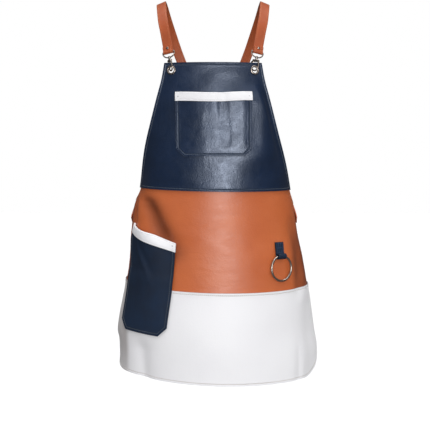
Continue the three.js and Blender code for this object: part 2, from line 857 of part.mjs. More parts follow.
// Ribbon of leather along a middle line, each step with its point and the way out of its face.
function ribbon(steps, width, thick) {
  const rings = steps.map((step, i) => {
    const before = steps[Math.max(i - 1, 0)].point;
    const after = steps[Math.min(i + 1, steps.length - 1)].point;
    const ahead = after.clone().sub(before).normalize();
    const across = ahead.clone().cross(step.out).normalize();
    const out = across.clone().cross(ahead);
    const corner = (side, face) => step.point.clone()
      .addScaledVector(across, (side * width) / 2)
      .addScaledVector(out, (face * thick) / 2);
    return [corner(-1, 1), corner(1, 1), corner(1, -1), corner(-1, -1)];
  });
  return loft(rings);
}

// Way out of the body at a place over the shoulder, away from the shoulder's core.
const coreAcross = 0.6;
const coreDown = 0.8;

function shoulderOut(point) {
  const core = new THREE.Vector3(point.x * coreAcross, 0, Math.min(point.z, -bibDrop * coreDown));
  return point.clone().sub(core).normalize();
}

// Depth of the folds under a place on the back, whose q is measured from the back's middle.
function foldBehind(q, z) {
  const { round, slide } = sectionAt(z);
  const run = q < 0 ? -round - q : round - q;
  return foldAt(run + slide, z);
}

// The back stretch of a strap, in (q, z) with q measured from the back's middle to the right.
function backRoute(side) {
  const endZ = -bibDrop - strapEndDrop;
  const section = sectionAt(endZ);
  const anchor = -side * (halfWidth(strapEndDrop) - strapEndInset);
  const endRun = anchor - section.slide;
  const endQ = -side * (section.round - Math.abs(endRun));
  const startQ = side * strapBackAcross;
  const startZ = -bibDrop - strapBackDrop;
  const length = Math.hypot(endQ - startQ, endZ - startZ);
  const place = (q, z) => wornPoint(sectionAt(z).round - q, z, 0);
  const lifted = side > 0 ? strapThick + 2 * gap : 0;
  return [...spread(0, 1, 12), 1 + strapTail / length].map((part) => {
    const q = THREE.MathUtils.lerp(startQ, endQ, part);
    const z = THREE.MathUtils.lerp(startZ, endZ, part);
    const frame = frameOf(place, q, z);
    const out = frame.out.negate();
    const toEnd = (1 - part) * length;
    const onPanel = 1 - smooth(panelApproach, 2 * panelApproach, toEnd);
    const overPanel = (leather + foldBehind(q, z)) * onPanel;
    const crossing = lifted * (1 - smooth(crossingHalf, crossingHalf + crossingRamp, Math.abs(q)));
    const lift = strapThick / 2 + strapEase + overPanel + crossing;
    return { point: place(q, z).addScaledVector(out, lift), out };
  });
}

const sides = [
  { name: 'left', side: -1 },
  { name: 'right', side: 1 },
];

sides.forEach(({ name, side }) => {
  const s = side * eyeletAcross;
  const z = -bibDrop - eyeletDrop;
  const eyeletSpot = leatherSpot(s, z, lapLift + leather / 2);
  const flat = frameOf(leatherPoint, s, z);
  const eyelet = groupAt(apron, eyeletSpot, flat.across, flat.out, flat.up);
  addMesh(eyelet, `eyelet_${name}`, alongOut(turned(eyeletProfile(), 18)), nickel);
  const holeRadius = eyeletHole + eyeletBarrelWall + gap;
  bibHoles.push(alongOut(rod(holeRadius, -2 * leather, 2 * leather, 18)).applyMatrix4(eyelet.matrixWorld));

  const way = shoulderWay.map((row) => new THREE.Vector3(
    side * row.across * shoulderHalf,
    row.deep * shoulderDepth,
    strapThick / 2 - row.down * bibDrop,
  ));
  const up = way[0].clone().sub(eyeletSpot).normalize();
  const across = up.clone().cross(flat.out).normalize();
  const out = across.clone().cross(up);
  const base = eyeletSpot.clone().addScaledVector(up, hookRise);
  const hookGroup = groupAt(apron, base, across, out, up);
  const claw = new THREE.Group();
  claw.rotation.z = hookTurn - Math.PI / 2;
  hookGroup.add(claw);
  addMesh(claw, `hook_${name}`, hookGeometry(), nickel);
  addMesh(claw, `gate_${name}`, gateGeometry(), nickel);
  addMesh(hookGroup, `swivel_eye_${name}`, eyeGeometry(), nickel);

  const bar = base.clone().addScaledVector(up, eyeBarUp);
  const inFold = (rise, outward) => bar.clone()
    .addScaledVector(up, rise)
    .addScaledVector(out, outward);
  const foldSteps = [];
  const addFold = (rise, outward, lean) => foldSteps.push({
    point: inFold(rise, outward),
    out: out.clone().multiplyScalar(Math.cos(lean)).addScaledVector(up, -Math.sin(lean)),
  });
  const layerOff = (rise) => strapLayer + (foldRadius - strapLayer) * (1 - smooth(0, foldTaper, rise));
  spread(foldEndUp, 0, 5).forEach((rise) => addFold(rise, layerOff(rise), 0));
  spread(0, Math.PI, 7).slice(1, -1).forEach((turn) => {
    addFold(-foldRadius * Math.sin(turn), foldRadius * Math.cos(turn), turn);
  });
  spread(0, foldEndUp, 5).forEach((rise) => addFold(rise, -layerOff(rise), Math.PI));

  const backSteps = backRoute(side);
  const start = inFold(foldEndUp + foldToStrap, -strapLayer);
  const knots = [start, ...way, ...backSteps.map((step) => step.point)];
  const outs = [out, ...way.map(shoulderOut), ...backSteps.map((step) => step.out)];
  const line = new THREE.CatmullRomCurve3(knots, false, 'catmullrom', 0.5);
  const facing = new THREE.CatmullRomCurve3(outs, false, 'catmullrom', 0.5);
  const strapSteps = spread(0, 1, 2 * (knots.length - 1)).map((part) => ({
    point: line.getPoint(part),
    out: facing.getPoint(part).negate(),
  }));
  const strap = ribbon([...foldSteps, ...strapSteps], strapWidth, strapThick);

  const rivetGroup = groupAt(apron, inFold(strapRivetUp, 0), across, out, up);
  const grip = strapLayer + strapThick / 2 + gap;
  const strapRivet = rivetGeometry(strapRivetHead, strapRivetShank, -grip, grip);
  addMesh(rivetGroup, `strap_rivet_${name}`, alongOut(strapRivet), nickel);
  const strapHole = alongOut(rod(strapRivetShank + gap, -2 * grip, 2 * grip, 16))
    .applyMatrix4(rivetGroup.matrixWorld);

  const [anchorStep, tip] = backSteps.slice(-2);
  const pull = anchorStep.point.clone().sub(tip.point).normalize();
  const anchorAcross = pull.clone().cross(anchorStep.out).normalize();
  const anchorFace = anchorAcross.clone().cross(pull);
  const anchor = groupAt(apron, anchorStep.point, anchorAcross, anchorFace, pull);
  const low = -strapThick / 2 - strapEase - leather - rivetPlay;
  const endRivet = rivetGeometry(endRivetHead, endRivetShank, low, strapThick / 2 + 2 * gap);
  addMesh(anchor, `strap_end_rivet_${name}`, alongOut(endRivet), nickel);
  const endHole = alongOut(rod(endRivetShank + gap, 2 * low, -2 * low, 16))
    .applyMatrix4(anchor.matrixWorld);
  waistHoles.push(endHole);
  addMesh(apron, `strap_${name}`, cut(strap, [strapHole, endHole]), tan);
});

addMesh(apron, 'bib_panel', cut(bib, bibHoles), navy);
addMesh(apron, 'waist_panel', cut(waist, waistHoles), tan);

export default apron;
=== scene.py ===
# Blacksmith apron as it hangs when worn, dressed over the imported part: metres, +Z up, the
# front towards -Y, the origin midway between the shoulder tops. Left and right are the viewer's.
import math

import bpy
import numpy as np
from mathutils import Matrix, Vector


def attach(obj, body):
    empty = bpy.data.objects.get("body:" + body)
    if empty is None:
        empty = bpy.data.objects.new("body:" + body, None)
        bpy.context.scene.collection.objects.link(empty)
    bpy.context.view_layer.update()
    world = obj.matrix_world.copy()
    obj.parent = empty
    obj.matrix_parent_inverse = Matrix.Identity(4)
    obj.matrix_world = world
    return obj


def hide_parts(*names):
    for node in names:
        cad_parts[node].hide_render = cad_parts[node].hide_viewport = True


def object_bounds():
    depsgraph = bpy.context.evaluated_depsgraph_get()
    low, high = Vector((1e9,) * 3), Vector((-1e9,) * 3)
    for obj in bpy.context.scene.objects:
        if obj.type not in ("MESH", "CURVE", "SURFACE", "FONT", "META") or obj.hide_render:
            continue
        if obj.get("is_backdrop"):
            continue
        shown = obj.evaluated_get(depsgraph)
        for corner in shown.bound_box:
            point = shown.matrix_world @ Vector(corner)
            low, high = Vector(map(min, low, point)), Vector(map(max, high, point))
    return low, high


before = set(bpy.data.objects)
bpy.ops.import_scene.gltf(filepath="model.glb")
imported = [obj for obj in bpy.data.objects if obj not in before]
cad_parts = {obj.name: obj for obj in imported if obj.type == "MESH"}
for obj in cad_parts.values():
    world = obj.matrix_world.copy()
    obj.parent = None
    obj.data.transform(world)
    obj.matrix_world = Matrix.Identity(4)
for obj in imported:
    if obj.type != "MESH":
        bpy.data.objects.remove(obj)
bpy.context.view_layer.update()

# WAIST PANEL
# Smooth chrome-tanned cowhide, 2 mm thick and dyed tan, with a light finish. It is the middle of the
# apron: the bib and the skirt lap over it and are sewn through it. The worn form of all the leather
# is worked out here, because every other panel and pocket follows this one.
MM = 0.001
LEATHER = 2.0
GAP = 0.3
SEAM_LAP = 12.0
BIB_DROP = 130.0
APRON_LENGTH = 642.0
WAIST_SEAM = 257.0
SKIRT_SEAM = 458.0
SKIRT_HALF = 282.0
HEM_CORNER = 80.0
HEM_FALL = 9.6
HEM_RISE = 22.0
GIRTH_HALF = 210.0
GIRTH_FRONT = 142.0
GIRTH_BACK = 114.0
FOLD_DEPTH = 10.0
STITCH_IN = 4.6
SECTION_STEPS = 96
BATCH = 16000

# Sections of the worn form from the bib's top to the hem: at, half, front, back, centre, slide.
SECTIONS = np.array([
    (0.00, 0.800, 0.75, 0.98, 0.000, 0.000),
    (0.22, 0.785, 0.83, 1.00, 0.002, 0.000),
    (0.39, 0.741, 0.86, 0.90, 0.021, 0.000),
    (0.45, 0.788, 0.87, 0.91, 0.007, 0.010),
    (0.54, 0.826, 0.89, 0.94, 0.012, 0.020),
    (0.62, 0.860, 0.91, 0.97, 0.031, 0.028),
    (0.71, 0.902, 0.93, 1.00, 0.035, 0.035),
    (0.83, 0.960, 0.97, 1.05, 0.025, 0.045),
    (0.92, 0.989, 0.99, 1.07, 0.040, 0.050),
    (1.00, 1.000, 1.00, 1.08, 0.048, 0.055),
])

# Flat cut: at, and the half width as a share of SKIRT_HALF.
OUTLINE = np.array([
    (0.00, 0.349), (0.05, 0.372), (0.10, 0.407), (0.22, 0.497), (0.32, 0.589), (0.38, 0.656),
    (0.41, 0.702), (0.44, 0.780), (0.47, 0.925), (0.52, 0.945), (0.71, 0.960), (1.00, 1.000),
])

# Folds: across, reach, spread, deep, from, to.
FOLDS = [
    (-0.56, 0.24, 0.070, -0.38, 0.42, 0.57),
    (-0.70, 0.02, 0.035, -0.26, 0.42, 0.56),
    (-0.52, 0.02, 0.085, -0.45, 0.85, 1.10),
    (-0.90, 0.00, 0.100, -0.70, 0.85, 0.99),
    (0.66, 0.02, 0.055, -0.30, 0.47, 0.76),
    (0.80, 0.00, 0.070, -0.25, 0.72, 1.10),
]


def table_value(ats, values, at):
    """Smooth value between the rows of a table, without overshoot."""
    rise = np.diff(values) / np.diff(ats)
    product = rise[:-1] * rise[1:]
    total = np.where(product > 0, rise[:-1] + rise[1:], 1)
    inner = np.where(product > 0, 2 * product / total, 0)
    slope = np.concatenate([rise[:1], inner, rise[-1:]])
    at = np.clip(at, ats[0], ats[-1])
    i = np.clip(np.searchsorted(ats, at) - 1, 0, len(rise) - 1)
    step = ats[i + 1] - ats[i]
    t = (at - ats[i]) / step
    h = 1 - t
    return (values[i] * h * h * (1 + 2 * t) + values[i + 1] * t * t * (1 + 2 * h)
            + step * t * h * (slope[i] * h - slope[i + 1] * t))


def smooth(low, high, value):
    """A smooth step from 0 to 1 as a value goes from low to high."""
    t = np.clip((value - low) / (high - low), 0, 1)
    return t * t * (3 - 2 * t)


def bump(value, middle, spread):
    """A smooth hump of height 1 over a middle."""
    return np.exp(-((value - middle) / spread) ** 2)


def share_down(z):
    """How far a height is below the bib's top, as a share of the apron's length."""
    return (-z - BIB_DROP) / APRON_LENGTH


def section_at(z):
    """Half width, front depth, back depth, middle and slide of the worn form at a height."""
    at = share_down(z)
    scales = (GIRTH_HALF, GIRTH_FRONT, GIRTH_BACK, GIRTH_HALF, GIRTH_HALF)
    return [scale * table_value(SECTIONS[:, 0], column, at) for scale, column in zip(scales, SECTIONS.T[1:])]


def section_paces(half, front, back):
    """Lengths of the short steps round half a section, from the middle of its front to its back."""
    turn = (np.arange(SECTION_STEPS) + 0.5) * math.pi / SECTION_STEPS
    deep = np.where(turn < math.pi / 2, front, back)
    return np.hypot(half * np.cos(turn), deep * np.sin(turn)) * math.pi / SECTION_STEPS


def worn_point(run, z, lift):
    """Points a run away from the front's middle round the worn form at height z, lifted off it."""
    run, z, lift = (np.asarray(v, float).ravel() for v in np.broadcast_arrays(run, z, lift))
    found = []
    for part in np.array_split(np.arange(len(run)), max(1, len(run) // BATCH)):
        half, front, back, centre, _ = (v[:, None] for v in section_at(z[part]))
        paces = section_paces(half, front, back)
        arcs = np.concatenate([np.zeros((len(part), 1)), np.cumsum(paces, axis=1)], axis=1)
        around = arcs[:, -1]
        way = run[part]
        way = np.where(np.abs(way) > around, way - 2 * around * np.sign(way), way)
        far = np.abs(way)
        low = np.clip((arcs <= far[:, None]).sum(axis=1) - 1, 0, SECTION_STEPS - 1)
        at_low = arcs[np.arange(len(part)), low]
        at_high = arcs[np.arange(len(part)), low + 1]
        turned_by = low + (far - at_low) / (at_high - at_low)
        angle = np.sign(way) * turned_by * math.pi / SECTION_STEPS
        half, front, back, centre = half[:, 0], front[:, 0], back[:, 0], centre[:, 0]
        deep = np.where(np.cos(angle) > 0, front, back)
        spot = np.stack([centre + half * np.sin(angle), -deep * np.cos(angle), z[part]], axis=1)
        out = np.stack([deep * np.sin(angle), -half * np.cos(angle), 0 * angle], axis=1)
        found.append(spot + unit(out) * lift[part, None])
    return np.concatenate(found)


def fold_at(s, z):
    """How far the folds lift the leather at a place."""
    at = share_down(z)
    depth = np.zeros_like(at)
    for across, reach, spread, deep, start, end in FOLDS:
        along = np.clip((at - start) / (end - start), 0, 1)
        window = smooth(start, start + 0.05, at) * (1 - smooth(end - 0.05, end, at))
        middle = (across + reach * along) * SKIRT_HALF
        depth += deep * FOLD_DEPTH * window * bump(s, middle, spread * SKIRT_HALF)
    return depth


def leather_point(s, z):
    """Points of the leather's own form with its folds, s across from its middle at a height."""
    return worn_point(s - section_at(z)[4], z, fold_at(s, z))


def unit(v):
    """Directions of length 1."""
    return v / np.linalg.norm(v, axis=-1, keepdims=True)


def frame_of(place, u, z):
    """Directions at places of a surface: out of it, to the right along it, and up along it."""
    step = 1.5
    across = unit(place(u + step, z) - place(u - step, z))
    rise = place(u, z + step) - place(u, z - step)
    out = unit(np.cross(across, rise))
    return out, across, np.cross(out, across)


def leather_spot(s, z, lift):
    """Points at a lift off the leather's own form, straight out of it."""
    s, z, lift = (np.asarray(v, float).ravel() for v in np.broadcast_arrays(s, z, lift))
    out = frame_of(leather_point, s, z)[0]
    return leather_point(s, z) + out * lift[:, None]


def level_z(drop, s):
    """Height of a place on the flat cut: levels are straight at the top and curve to the hem's."""
    off = s / SKIRT_HALF
    return -BIB_DROP - drop + (drop / APRON_LENGTH) * (HEM_RISE * off * off - HEM_FALL * off)


def half_width(drop):
    """Half the width of the flat cut at a drop below the bib's top, with the hem's round corner."""
    wide = SKIRT_HALF * table_value(OUTLINE[:, 0], OUTLINE[:, 1], drop / APRON_LENGTH)
    up = np.maximum(HEM_CORNER - (APRON_LENGTH - drop), 0)
    return wide - HEM_CORNER + np.sqrt(np.maximum(HEM_CORNER**2 - up**2, 0))


def waves(u, v, seed):
    """Smooth random heights from -1 to 1 over a plane, about one hump to a unit."""
    table = np.random.default_rng(seed).uniform(-1, 1, (64, 64))
    i, j = np.floor(u).astype(int), np.floor(v).astype(int)
    a, b = u - i, v - j
    a, b = a * a * (3 - 2 * a), b * b * (3 - 2 * b)
    corner = [table[(i + di) % 64, (j + dj) % 64] for di in (0, 1) for dj in (0, 1)]
    return (corner[0] * (1 - b) + corner[1] * b) * (1 - a) + (corner[2] * (1 - b) + corner[3] * b) * a


# Distances from a rim at which a sheet has corners, close enough to carry the relief of its rim.
NEAR_EDGE = np.array([0, 0.15, 0.4, 0.8, 1.3, 2.0, 2.8, 3.5, 4.1, 4.6, 5.1, 5.7, 6.6, 8.0, 10.0])

# Each face of a sheet is at its full height along the rim itself and lies this much lower within.
RIM_STEP = LEATHER / 2 - 0.1


def from_edges(low, high, step):
    """Stations from low to high, close together near both ends, and step apart between."""
    inner = np.linspace(low + NEAR_EDGE[-1], high - NEAR_EDGE[-1], max(2, int((high - low) / step)))
    return np.concatenate([low + NEAR_EDGE, inner[1:-1], high - NEAR_EDGE[::-1]])


def face_sink(d):
    """How far each face lies inside the leather's full thickness at a distance d from its edge: not
    at all along the rim itself, and by the rim's step within."""
    inside = np.clip(d / RIM_STEP, 0, 1)
    return RIM_STEP * np.sqrt(1 - (1 - inside) ** 2)


def sewn_edge(d):
    """A turned and sewn edge: full along the rim, and drawn in along its row of stitches."""
    return 0.5 * bump(d, 2.3, 1.4) - 0.8 * bump(d, STITCH_IN, 0.8) + 0.25 * bump(d, 6.4, 1.2)


def sheet_faces(rows, columns, punched=None):
    """Faces of both sides of a sheet, less those between punched places, and the walls at its rims."""
    count = rows * columns
    index = np.arange(count).reshape(rows, columns)
    a, b, c, d = index[:-1, :-1], index[1:, :-1], index[1:, 1:], index[:-1, 1:]
    front = np.stack([a, b, c, d], axis=-1).reshape(-1, 4)
    if punched is not None:
        front = front[~punched.ravel()[front].all(axis=1)]
    ways = np.stack([front, np.roll(front, -1, axis=1)], axis=-1).reshape(-1, 2)
    alone = ~np.isin(ways[:, 0] * count + ways[:, 1], ways[:, 1] * count + ways[:, 0])
    first, second = ways[alone].T
    sides = np.stack([second, first, first + count, second + count], axis=-1)
    return np.concatenate([front, front[:, ::-1] + count, sides])


def add_piece(name, shape, material, node=None, body="apron", flat_cut=None, flesh_side=None,
              painted_shade=None):
    """An object from its points in millimetres and its faces, riding on a body, in place
    of a node. Its flat cut is its UV. A sheet takes a second material on its inner face, whose
    corners come second in the points and have the same flat cut. Painted shade is how far each
    corner of its outer face is darkened to stand for shade, from 0 to 1."""
    points, faces = shape
    faces = [list(face) for face in faces]
    used = np.zeros(len(points), bool)
    used[np.concatenate(faces)] = True
    place = np.cumsum(used) - 1
    mesh = bpy.data.meshes.new(name)
    mesh.from_pydata((points[used] * MM).tolist(), [], [place[face].tolist() for face in faces])
    mesh.validate()
    mesh.polygons.foreach_set("use_smooth", np.ones(len(mesh.polygons), bool))
    mesh.materials.append(material)
    if flat_cut is not None:
        if flesh_side is not None:
            flat_cut = np.concatenate([flat_cut, flat_cut])
        corner = np.zeros(len(mesh.loops), int)
        mesh.loops.foreach_get("vertex_index", corner)
        layer = mesh.uv_layers.new(name="flat_cut")
        layer.data.foreach_set("uv", (flat_cut[used] * MM)[corner].ravel())
    if flesh_side is not None:
        mesh.materials.append(flesh_side)
        last_outer = len(points) // 2 - 1
        sides = [min(face) > last_outer for face in faces]
        mesh.polygons.foreach_set("material_index", np.array(sides, int))
    if painted_shade is not None:
        layer = mesh.attributes.new("painted_shade", "FLOAT", "POINT")
        layer.data.foreach_set("value", np.tile(painted_shade.ravel(), 2)[used])
    piece = bpy.data.objects.new(name, mesh)
    bpy.context.scene.collection.objects.link(piece)
    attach(piece, body)
    if node is not None:
        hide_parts(node)
    return piece


def add_sheet(name, material, slot, node, s, z, lift, edge, rim, flat, flesh_side, punched=None, painted_shade=None):
    """A sheet of leather over a grid of places. Its inner face stands off the worn form by the lift,
    edge is the distance to its rim, rim is the relief there and flat its flat cut, across and down."""
    base = leather_point(s.ravel(), z.ravel())
    out = frame_of(leather_point, s.ravel(), z.ravel())[0]
    sink = face_sink(edge)
    outer, inner = lift + LEATHER - sink + rim, lift + sink
    points = np.concatenate([base + out * outer.reshape(-1, 1), base + out * inner.reshape(-1, 1)])
    flat_cut = np.stack([flat[0].ravel(), flat[1].ravel()], axis=1)
    return add_piece(name, (points, sheet_faces(*s.shape, punched)), material, node,
                     flat_cut=flat_cut, flesh_side=flesh_side, painted_shade=painted_shade)


def loop_faces(index, capped=True):
    """Faces between neighbouring loops of corners and, where capped, over the first and the last."""
    a, b = index[..., :-1, :], index[..., 1:, :]
    sides = np.stack([a, np.roll(a, -1, axis=-1), np.roll(b, -1, axis=-1), b], axis=-1)
    faces = sides.reshape(-1, 4).tolist()
    if capped:
        ends = np.concatenate([index[..., :1, ::-1], index[..., -1:, :]])
        faces += ends.reshape(-1, index.shape[-1]).tolist()
    return faces


def stitches(path, outs, pitch=4.0, length=3.1, thick=0.75):
    """A row of stitches along a path: each a short length of thread that dives in at both ends."""
    path, outs = np.asarray(path, float), np.asarray(outs, float)
    along = np.concatenate([[0], np.cumsum(np.linalg.norm(np.diff(path, axis=0), axis=1))])
    count = int(along[-1] // pitch)
    first = (along[-1] - count * pitch + pitch - length) / 2
    at = first + pitch * np.arange(count)[:, None] + length * np.array([0, 0.14, 0.5, 0.86, 1])
    centre = np.stack([np.interp(at, along, path[:, k]) for k in range(3)], axis=-1)
    normal = unit(np.stack([np.interp(at, along, outs[:, k]) for k in range(3)], axis=-1))
    ahead = unit(centre[:, -1:] - centre[:, :1])
    side = unit(np.cross(np.broadcast_to(ahead, normal.shape), normal))
    turn = np.arange(6) / 6 * 2 * math.pi
    radius = thick / 2 * np.array([0.35, 0.9, 1, 0.9, 0.35])[:, None, None]
    dive = thick * np.array([0.5, 0.12, 0, 0.12, 0.5])[:, None, None]
    ring = side[:, :, None] * np.cos(turn)[:, None] + normal[:, :, None] * np.sin(turn)[:, None]
    points = (centre - normal * dive[:, 0])[:, :, None] + ring * radius
    return points.reshape(-1, 3), loop_faces(np.arange(count * 30).reshape(count, 5, 6))


def together(*parts):
    """One shape of several, each with its points and faces."""
    points, faces, start = [], [], 0
    for part_points, part_faces in parts:
        points.append(part_points)
        faces += [[k + start for k in face] for face in part_faces]
        start += len(part_points)
    return np.concatenate(points), faces


def linear(hex_colour):
    """Linear colour of an sRGB hex value."""
    parts = [int(hex_colour[k:k + 2], 16) / 255 for k in (0, 2, 4)]
    return tuple(c / 12.92 if c <= 0.04045 else ((c + 0.055) / 1.055) ** 2.4 for c in parts) + (1,)


def add_node(tree, kind, sockets=None, **settings):
    """A node with its settings, its values and its links."""
    made = tree.nodes.new(kind)
    for key, value in settings.items():
        setattr(made, key, value)
    for key, value in (sockets or {}).items():
        if isinstance(value, bpy.types.NodeSocket):
            tree.links.new(value, made.inputs[key])
        else:
            made.inputs[key].default_value = value
    return made


def new_material(name):
    """A material with its node tree and its shader."""
    material = bpy.data.materials.new(name)
    material.use_nodes = True
    tree = material.node_tree
    shader = tree.nodes["Principled BSDF"]
    return material, tree, shader


def hide_height(tree, cut, grain_mm, crease_mm, crease_share, crinkle_mm, crinkle_share, lie):
    """Height of a hide's surface: fine pebble grain, the crinkle that breaks up its shine, and soft
    creases drawn out along one way of the hide."""
    grain = add_node(tree, "ShaderNodeTexVoronoi",
                     {"Vector": cut, "Scale": 1000 / grain_mm, "Randomness": 0.9}, feature="SMOOTH_F1")
    stretched = add_node(tree, "ShaderNodeMapping", {"Vector": cut, "Scale": lie, "Rotation": (0, 0, 0.12)})
    crease = add_node(tree, "ShaderNodeTexNoise", {
        "Vector": stretched.outputs[0], "Scale": 1000 / crease_mm,
        "Detail": 5.0, "Roughness": 0.62, "Distortion": 0.6})
    drift = add_node(tree, "ShaderNodeTexNoise", {"Vector": cut, "Scale": 400 / crinkle_mm, "Detail": 3.0})
    bent = add_node(tree, "ShaderNodeVectorMath", {0: drift.outputs["Color"], 1: (0.016, 0.016, 0), 2: cut},
                    operation="MULTIPLY_ADD")
    cells = add_node(tree, "ShaderNodeTexVoronoi", {"Vector": bent.outputs[0], "Scale": 1000 / crinkle_mm},
                     feature="DISTANCE_TO_EDGE")
    crinkle = add_node(tree, "ShaderNodeMapRange", {
        "Value": cells.outputs["Distance"], "From Max": 0.22, "To Max": crinkle_share},
        interpolation_type="SMOOTHSTEP")
    rough_face = add_node(tree, "ShaderNodeMath", {
        0: grain.outputs["Distance"], 1: 0.7, 2: crinkle.outputs[0]}, operation="MULTIPLY_ADD")
    height = add_node(tree, "ShaderNodeMath", {
        0: crease.outputs["Fac"], 1: crease_share, 2: rough_face.outputs[0]}, operation="MULTIPLY_ADD")
    return height, crease


def hide(name, dark, pale, cloud, surface, relief, shaded_tone=None):
    """The grain side of a hide: its dye runs from dark to pale in clouds of a scale, detail and
    roughness, or along its creases where it has no clouds, and goes to the shaded tone where a
    piece carries painted shade. Surface is what hide_height takes. Relief is how strongly that
    shows, and how deep it is in metres."""
    material, tree, shader = new_material(name)
    cut = add_node(tree, "ShaderNodeUVMap", uv_map="flat_cut").outputs[0]
    height, crease = hide_height(tree, cut, *surface)
    blotch = crease
    if cloud is not None:
        blotch = add_node(tree, "ShaderNodeTexNoise", {
            "Vector": cut, "Scale": cloud[0], "Detail": cloud[1], "Roughness": cloud[2]})
    tone = add_node(tree, "ShaderNodeMix", {
        "Factor": blotch.outputs["Fac"], "A": linear(dark), "B": linear(pale)}, data_type="RGBA")
    # A piece's painted shade mixes the dye towards the shaded tone, to stand for shade.
    if shaded_tone is not None:
        painted_shade = add_node(tree, "ShaderNodeAttribute", attribute_name="painted_shade")
        tone = add_node(tree, "ShaderNodeMix", {
            "Factor": painted_shade.outputs["Fac"], "A": tone.outputs["Result"], "B": linear(shaded_tone)},
            data_type="RGBA")
    tree.links.new(tone.outputs["Result"], shader.inputs["Base Color"])
    skin = add_node(tree, "ShaderNodeBump", {
        "Height": height.outputs[0], "Strength": relief[0], "Distance": relief[1]})
    tree.links.new(skin.outputs[0], shader.inputs["Normal"])
    return material, shader, tree, cut, crease, skin


# Tan cowhide, smooth and lightly finished: a warm even dye that pales a little where it is rubbed,
# and a soft sheen that shows its fine creases. Its grain is near 1 mm, drawn at 1.4 mm to show.
# Its shaded tone, a dark brown, is painted shade for the waist panel's folds and margins.
tan_hide, shader, tree, _, crease, _ = hide(
    "smooth_tan_cowhide", "aa4f26", "c96d3c", (9.0, 4.0, 0.55),
    (1.4, 24, 2.6, 9.0, 0.16, (0.4, 1.0, 1.0)), (0.5, 0.0006), shaded_tone="5c2d1c")
rough = add_node(tree, "ShaderNodeMapRange", {
    "Value": crease.outputs["Fac"], "From Min": 0.3, "From Max": 0.7, "To Min": 0.33, "To Max": 0.45})
tree.links.new(rough.outputs[0], shader.inputs["Roughness"])
shader.inputs["IOR"].default_value = 1.5
shader.inputs["Coat Weight"].default_value = 0.12
shader.inputs["Coat Roughness"].default_value = 0.32


def suede(name, dark, pale):
    """The flesh side of a hide, left raw: a dry nap of short fibres with no shine, mottled where the
    dye has gone through. Its fibres are near 0.3 mm and are drawn at 1.2 mm to show."""
    made, tree, shader = new_material(name)
    cut = add_node(tree, "ShaderNodeUVMap", uv_map="flat_cut").outputs[0]
    nap = add_node(tree, "ShaderNodeTexNoise", {
        "Vector": cut, "Scale": 1000 / 1.2, "Detail": 4.0, "Roughness": 0.7})
    mottle = add_node(tree, "ShaderNodeTexNoise", {
        "Vector": cut, "Scale": 1000 / 38, "Detail": 5.0, "Roughness": 0.6})
    both = add_node(tree, "ShaderNodeMath", {0: nap.outputs["Fac"], 1: 0.35, 2: mottle.outputs["Fac"]},
                    operation="MULTIPLY_ADD")
    spread = add_node(tree, "ShaderNodeMapRange", {
        "Value": both.outputs[0], "From Min": 0.4, "From Max": 0.95})
    tone = add_node(tree, "ShaderNodeMix", {
        "Factor": spread.outputs[0], "A": linear(dark), "B": linear(pale)}, data_type="RGBA")
    tree.links.new(tone.outputs["Result"], shader.inputs["Base Color"])
    relief = add_node(tree, "ShaderNodeBump", {
        "Height": both.outputs[0], "Strength": 0.5, "Distance": 0.0007})
    tree.links.new(relief.outputs[0], shader.inputs["Normal"])
    shader.inputs["Roughness"].default_value = 0.95
    shader.inputs["Specular IOR Level"].default_value = 0.2
    shader.inputs["Sheen Weight"].default_value = 0.25
    shader.inputs["Sheen Roughness"].default_value = 0.6
    return made


tan_suede = suede("tan_flesh_side", "86502f", "b0764c")


def drawn_in(shares, half):
    """Columns of a narrower row: as they are near both edges, and drawn together between."""
    widest, near = shares[-1], NEAR_EDGE[-1]
    inner = shares / (widest - near) * (half - near)
    return np.where(shares < near - widest, shares + widest - half,
                    np.where(shares > widest - near, shares - widest + half, inner))


def panel_places(drops, step):
    """Grid over a panel: rows at the drops, columns from edge to edge, with each place's (s, drop)."""
    halves = half_width(drops)
    s = drawn_in(from_edges(-halves.max(), halves.max(), step), halves[:, None])
    return s, np.repeat(drops[:, None], s.shape[1], axis=1)


def side_distance(s, drop):
    """Distance to the apron's side edge or rounded hem corner."""
    slope = (half_width(drop + 1) - half_width(drop - 1)) / 2
    slope = np.where(drop > APRON_LENGTH - HEM_CORNER, 0, slope)
    flat = (half_width(drop) - np.abs(s)) / np.hypot(1, slope)
    wide = SKIRT_HALF * table_value(OUTLINE[:, 0], OUTLINE[:, 1], drop / APRON_LENGTH)
    over, down = np.abs(s) - (wide - HEM_CORNER), drop - (APRON_LENGTH - HEM_CORNER)
    return np.where((over > 0) & (down > 0), HEM_CORNER - np.hypot(over, down), flat)


# Where the tool ring's tab and the ends of the straps hold the waist panel flat.
TAB_HELD_ACROSS = 140.0
TAB_HELD_DROP = 368.0
STRAP_HELD_DROP = 312.0


def waist_hang(s, drop):
    """How the waist panel waves off its smooth form, still where the tab and the straps are sewn."""
    free = smooth(WAIST_SEAM + 2, WAIST_SEAM + 30, drop)
    free = free * (1 - smooth(SKIRT_SEAM - 30, SKIRT_SEAM - 2, drop))
    still = bump(s, TAB_HELD_ACROSS, 22) * bump(drop, TAB_HELD_DROP, 44)
    still += smooth(180, 225, np.abs(s)) * bump(drop, STRAP_HELD_DROP, 50)
    gentle = 0.45 * waves(s / 60 + 3, drop / 40, 5) + 0.16 * waves(s / 22, drop / 18 + 9, 6)
    pulls = bump(drop - 0.16 * s, 330, 9) * bump(s, 10, 50)
    pulls -= 0.8 * bump(drop + 0.1 * s, 372, 12) * bump(s, -30, 60)
    down = np.clip((drop - 272) / 100, 0, 1)
    hollow = bump(s, -156 + 66 * down, 25) * smooth(262, 285, drop) * (1 - smooth(350, 385, drop))
    crease = bump(s, -197 + 8 * down, 8) * smooth(270, 295, drop) * (1 - smooth(330, 360, drop))
    side = bump(s, 206, 13) * smooth(350, 400, drop)
    folds = 7.5 * hollow + 2.4 * crease + 4.5 * side
    return (gentle + 0.35 * pulls - folds) * free * np.maximum(1 - still, 0)


